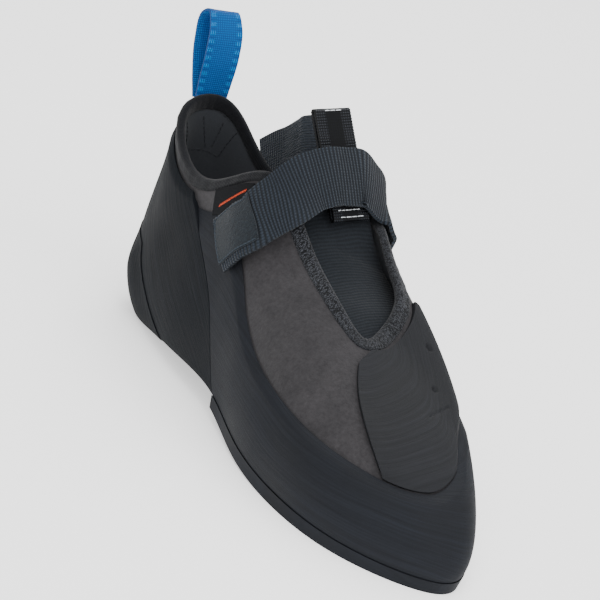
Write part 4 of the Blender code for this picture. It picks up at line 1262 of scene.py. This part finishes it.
def ribbon_finish(name, dark, middle, light, roughness, width, plain, knurl, shine, ground):
    """Woven ribbon: cross ribs knurl metres apart, selvedges rougher and lighter than the middle.
    plain is the half share of its width that is smooth, ground how much of the weave shows there."""
    material, surface = new_material(name, roughness, Specular_IOR_Level=shine)
    cloth = add_node(material, "TexCoord").outputs["UV"]
    parts = add_node(material, "SeparateXYZ", [("Vector", cloth)])
    ribs = add_node(material, "TexWave", [("Vector", cloth), ("Scale", WAVE / knurl)], bands_direction="X")
    yarns = add_node(material, "TexWave", [("Vector", cloth), ("Scale", WAVE / knurl)], bands_direction="Y")
    weave = add_node(material, "Math", [(0, ribs), (1, yarns)], operation="MULTIPLY")
    off = add_node(material, "Math", [(0, parts.outputs["Y"]), (1, width / 2)], operation="SUBTRACT")
    away = add_node(material, "Math", [(0, off)], operation="ABSOLUTE")
    edge = add_node(material, "MapRange", [("Value", away), ("From Min", plain * width / 2),
                                           ("From Max", (plain + 0.1) * width / 2)])
    strong = add_node(material, "Math", [(0, edge), (1, 1 - ground), (2, ground)], operation="MULTIPLY_ADD")
    height = add_node(material, "Math", [(0, weave), (1, strong)], operation="MULTIPLY")
    tone = add_node(material, "ValToRGB", [("Fac", height)],
                    stops=((0.0, linear(dark)), (0.22, linear(middle)), (1.0, linear(light))))
    connect(material, tone, surface, "Base Color")
    fine = add_node(material, "Bump", [("Height", height), ("Strength", 0.6), ("Distance", 0.0003)])
    connect(material, fine, surface, "Normal")
    return material


tongue_loop.data.materials.append(ribbon_finish(
    "black_satin_ribbon", "090A0C", "14161A", "33363B", 0.5, LOOP_WIDTH, 0.40, 0.0011, 0.12, 0.08
))
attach(tongue_loop, "root")
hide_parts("tongue_loop")

# Light grey glossy thread over both folds of the loop: a painted highlight that stands for the glints on its
# folds
GLINT_RADIUS = 0.00022
FOLD_GLINTS = (             # share of the way round the ring, both ends across it, length of a stitch
    (0.458, 0.27, 0.75, 0.0028), (0.004, 0.18, 0.85, 0.0028), (0.034, 0.15, 0.78, 0.0016),
)


def fold_glint(round_at, start, end):
    def place_of(u):
        v = start + (end - start) * u
        around_ring = np.full(len(v), round_at)
        point = loop_place(around_ring, v)
        offset = point - (loop_low + loop_high) / 2
        limit = LOOP_REACH - LOOP_DEPTH / 2
        along = np.clip(offset @ loop_rise, -limit, limit)
        return point, unit(offset - loop_rise * along[:, None] - loop_side * (offset @ loop_side)[:, None])
    return place_of, abs(end - start) * LOOP_WIDTH


glint_threads = join_pieces("loop_fold_glints", [
    thread("fold_thread_%d" % number, *fold_glint(round_at, start, end), GLINT_RADIUS, stitch)
    for number, (round_at, start, end, stitch) in enumerate(FOLD_GLINTS)
])
# Light grey and glossy so that it reads as a painted highlight on the folds
glint_finish, surface = new_material("painted_glint_thread", 0.18, Specular_IOR_Level=0.8, Coat_Weight=0.5)
surface.inputs["Base Color"].default_value = linear("C8CCD0")
glint_threads.data.materials.append(glint_finish)
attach(glint_threads, "root")


# Pull loop: 15 mm blue ribbon, folded double and sewn behind the cuff of the heel, to pull the shoe
# on by.
PULL_WIDTH = 0.015
PULL_HEIGHT = 0.036
PULL_LEAN = -0.05
PULL_SHARE = 0.965           # how far up the skin it is sewn on
PULL_WAIST = 0.05            # how much narrower it is at its bend
PULL_TWIST = 0.0012
PULL_KNURL = 0.0012
PULL_SELVEDGE = 0.0001
PULL_PATH = (
    (0.000, 0.00), (0.005, 0.22), (0.010, 0.55), (-0.070, 0.88), (-0.190, 1.00), (-0.295, 0.93),
    (-0.280, 0.62), (-0.160, 0.28), (-0.034, 0.00),
)
pull_foot = skin(0.0, PULL_SHARE) + normal(0.0, PULL_SHARE) * (BINDING_STAND + LAYER_GAP + LOOP)
PULL_LINE = np.array([
    pull_foot + np.array((forward, PULL_LEAN * up, up)) * PULL_HEIGHT for forward, up in PULL_PATH
])
PULL_LENGTH = np.linalg.norm(np.diff(PULL_LINE, axis=0), axis=1).sum() * 1.03


def pull_place(u, v):
    here = smooth_path(PULL_LINE, u)
    ahead = smooth_path(PULL_LINE, np.clip(u + 0.01, 0, 1))
    behind = smooth_path(PULL_LINE, np.clip(u - 0.01, 0, 1))
    forward = unit(ahead - behind)
    side = np.array((0.0, 1.0, 0.0))
    side = unit(side - forward * (forward @ side)[:, None])
    out = np.cross(side, forward)
    w = v * 2 - 1
    waist = 1 - PULL_WAIST * np.exp(-((u - 0.5) / 0.08) ** 2)
    twist = PULL_TWIST * np.sin(u * 2 * math.pi) * w
    edge = np.clip((np.abs(w) - 0.62) / 0.1, 0.0, 1.0)
    stand = PULL_SELVEDGE * edge * np.sin(u * PULL_LENGTH / PULL_KNURL * 2 * math.pi) + twist
    return here + side * (w * waist * PULL_WIDTH / 2)[:, None] + out * stand[:, None]


pull_loop = wrap("blue_pull_loop", 460, 34, pull_place,
                 lambda u, v: (u * PULL_LENGTH, v * PULL_WIDTH), welded=False)
apply(pull_loop, "SOLIDIFY", thickness=LOOP, offset=-1.0)
round_edges(pull_loop, 0.0003)
pull_loop.data.materials.append(ribbon_finish(
    "blue_woven_ribbon", "003C74", "005096", "007CBC", 0.6, PULL_WIDTH, 0.6, 0.0009, 0.15, 0.45
))
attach(pull_loop, "root")
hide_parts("pull_loop")


# Floor, light and camera: a pale plain floor, soft boxes on all sides, and the photograph's view.
FLOOR = "F7F7F7"
FLOOR_SIZE = 12.0
FLOOR_GLOW = 0.80
SKY = 0.6
WHITE = (1.0, 1.0, 1.0, 1.0)
bpy.ops.object.select_all(action="DESELECT")
bpy.ops.mesh.primitive_grid_add(x_subdivisions=4, y_subdivisions=4, size=FLOOR_SIZE)
floor = bpy.context.object
floor.name = "studio_floor"
paper, surface = new_material("matt_paper", 0.9, Specular_IOR_Level=0.1)
surface.inputs["Base Color"].default_value = linear(FLOOR)
surface.inputs["Emission Color"].default_value = WHITE
surface.inputs["Emission Strength"].default_value = FLOOR_GLOW
floor.data.materials.append(paper)

# Lamps: name, direction it shines from, distance, size, power in watts
LAMPS = (
    ("key", (0.60, -0.55, 1.1), 1.6, 1.4, 19.0),
    ("fill", (1.2, 0.3, 0.8), 1.6, 1.4, 12.0),
    ("back", (-0.9, 0.8, 1.2), 1.7, 1.2, 14.0),
    ("top", (0.0, 0.0, 1.0), 1.8, 1.8, 16.0),
)
MIDDLE = Vector(((0.5 - ORIGIN_ALONG) * LENGTH, 0.0, 0.04))
for name, side, distance, size, power in LAMPS:
    bpy.ops.object.light_add(type="AREA")
    lamp = bpy.context.object
    lamp.name = name + "_lamp"
    lamp.data.shape = "DISK"
    lamp.data.size = size
    lamp.data.energy = power
    direction = Vector(side).normalized()
    lamp.location = MIDDLE + direction * distance
    lamp.rotation_euler = direction.to_track_quat("Z", "Y").to_euler()
world = bpy.data.worlds.new("studio")
world.use_nodes = True
world.node_tree.nodes["Background"].inputs["Color"].default_value = WHITE
world.node_tree.nodes["Background"].inputs["Strength"].default_value = SKY
bpy.context.scene.world = world

# Camera as it stood for the photograph: turned about the shoe, raised, and rolled
AZIMUTH, ELEVATION, ROLL = math.radians(52.0), math.radians(20.8), math.radians(-19.0)
DISTANCE = 0.900
FRAME_SIDE = 600               # pixels
PIXELS_A_MM = 2.55             # at the shoe
SENSOR = 36.0
LENS = PIXELS_A_MM * DISTANCE * 1000 / FRAME_SIDE * SENSOR
TARGET = Vector((0.120 - ORIGIN_ALONG * LENGTH, 0.0, 0.050))
TARGET_AT = (311.6, 314.3)     # where that point lies in the frame, in pixels
back = Vector((
    math.sin(AZIMUTH) * math.cos(ELEVATION), -math.cos(AZIMUTH) * math.cos(ELEVATION), math.sin(ELEVATION)
))
level = Vector((math.cos(AZIMUTH), math.sin(AZIMUTH), 0.0))
above = back.cross(level)
right = level * math.cos(ROLL) - above * math.sin(ROLL)
overhead = level * math.sin(ROLL) + above * math.cos(ROLL)
bpy.ops.object.camera_add()
camera = bpy.context.object
camera.data.sensor_width = SENSOR
camera.data.lens = LENS
camera.data.shift_x = -(TARGET_AT[0] - FRAME_SIDE / 2) / FRAME_SIDE
camera.data.shift_y = (TARGET_AT[1] - FRAME_SIDE / 2) / FRAME_SIDE
turned = Matrix((right, overhead, back)).transposed().to_4x4()
camera.matrix_world = Matrix.Translation(TARGET + back * DISTANCE) @ turned
bpy.context.scene.camera = camera
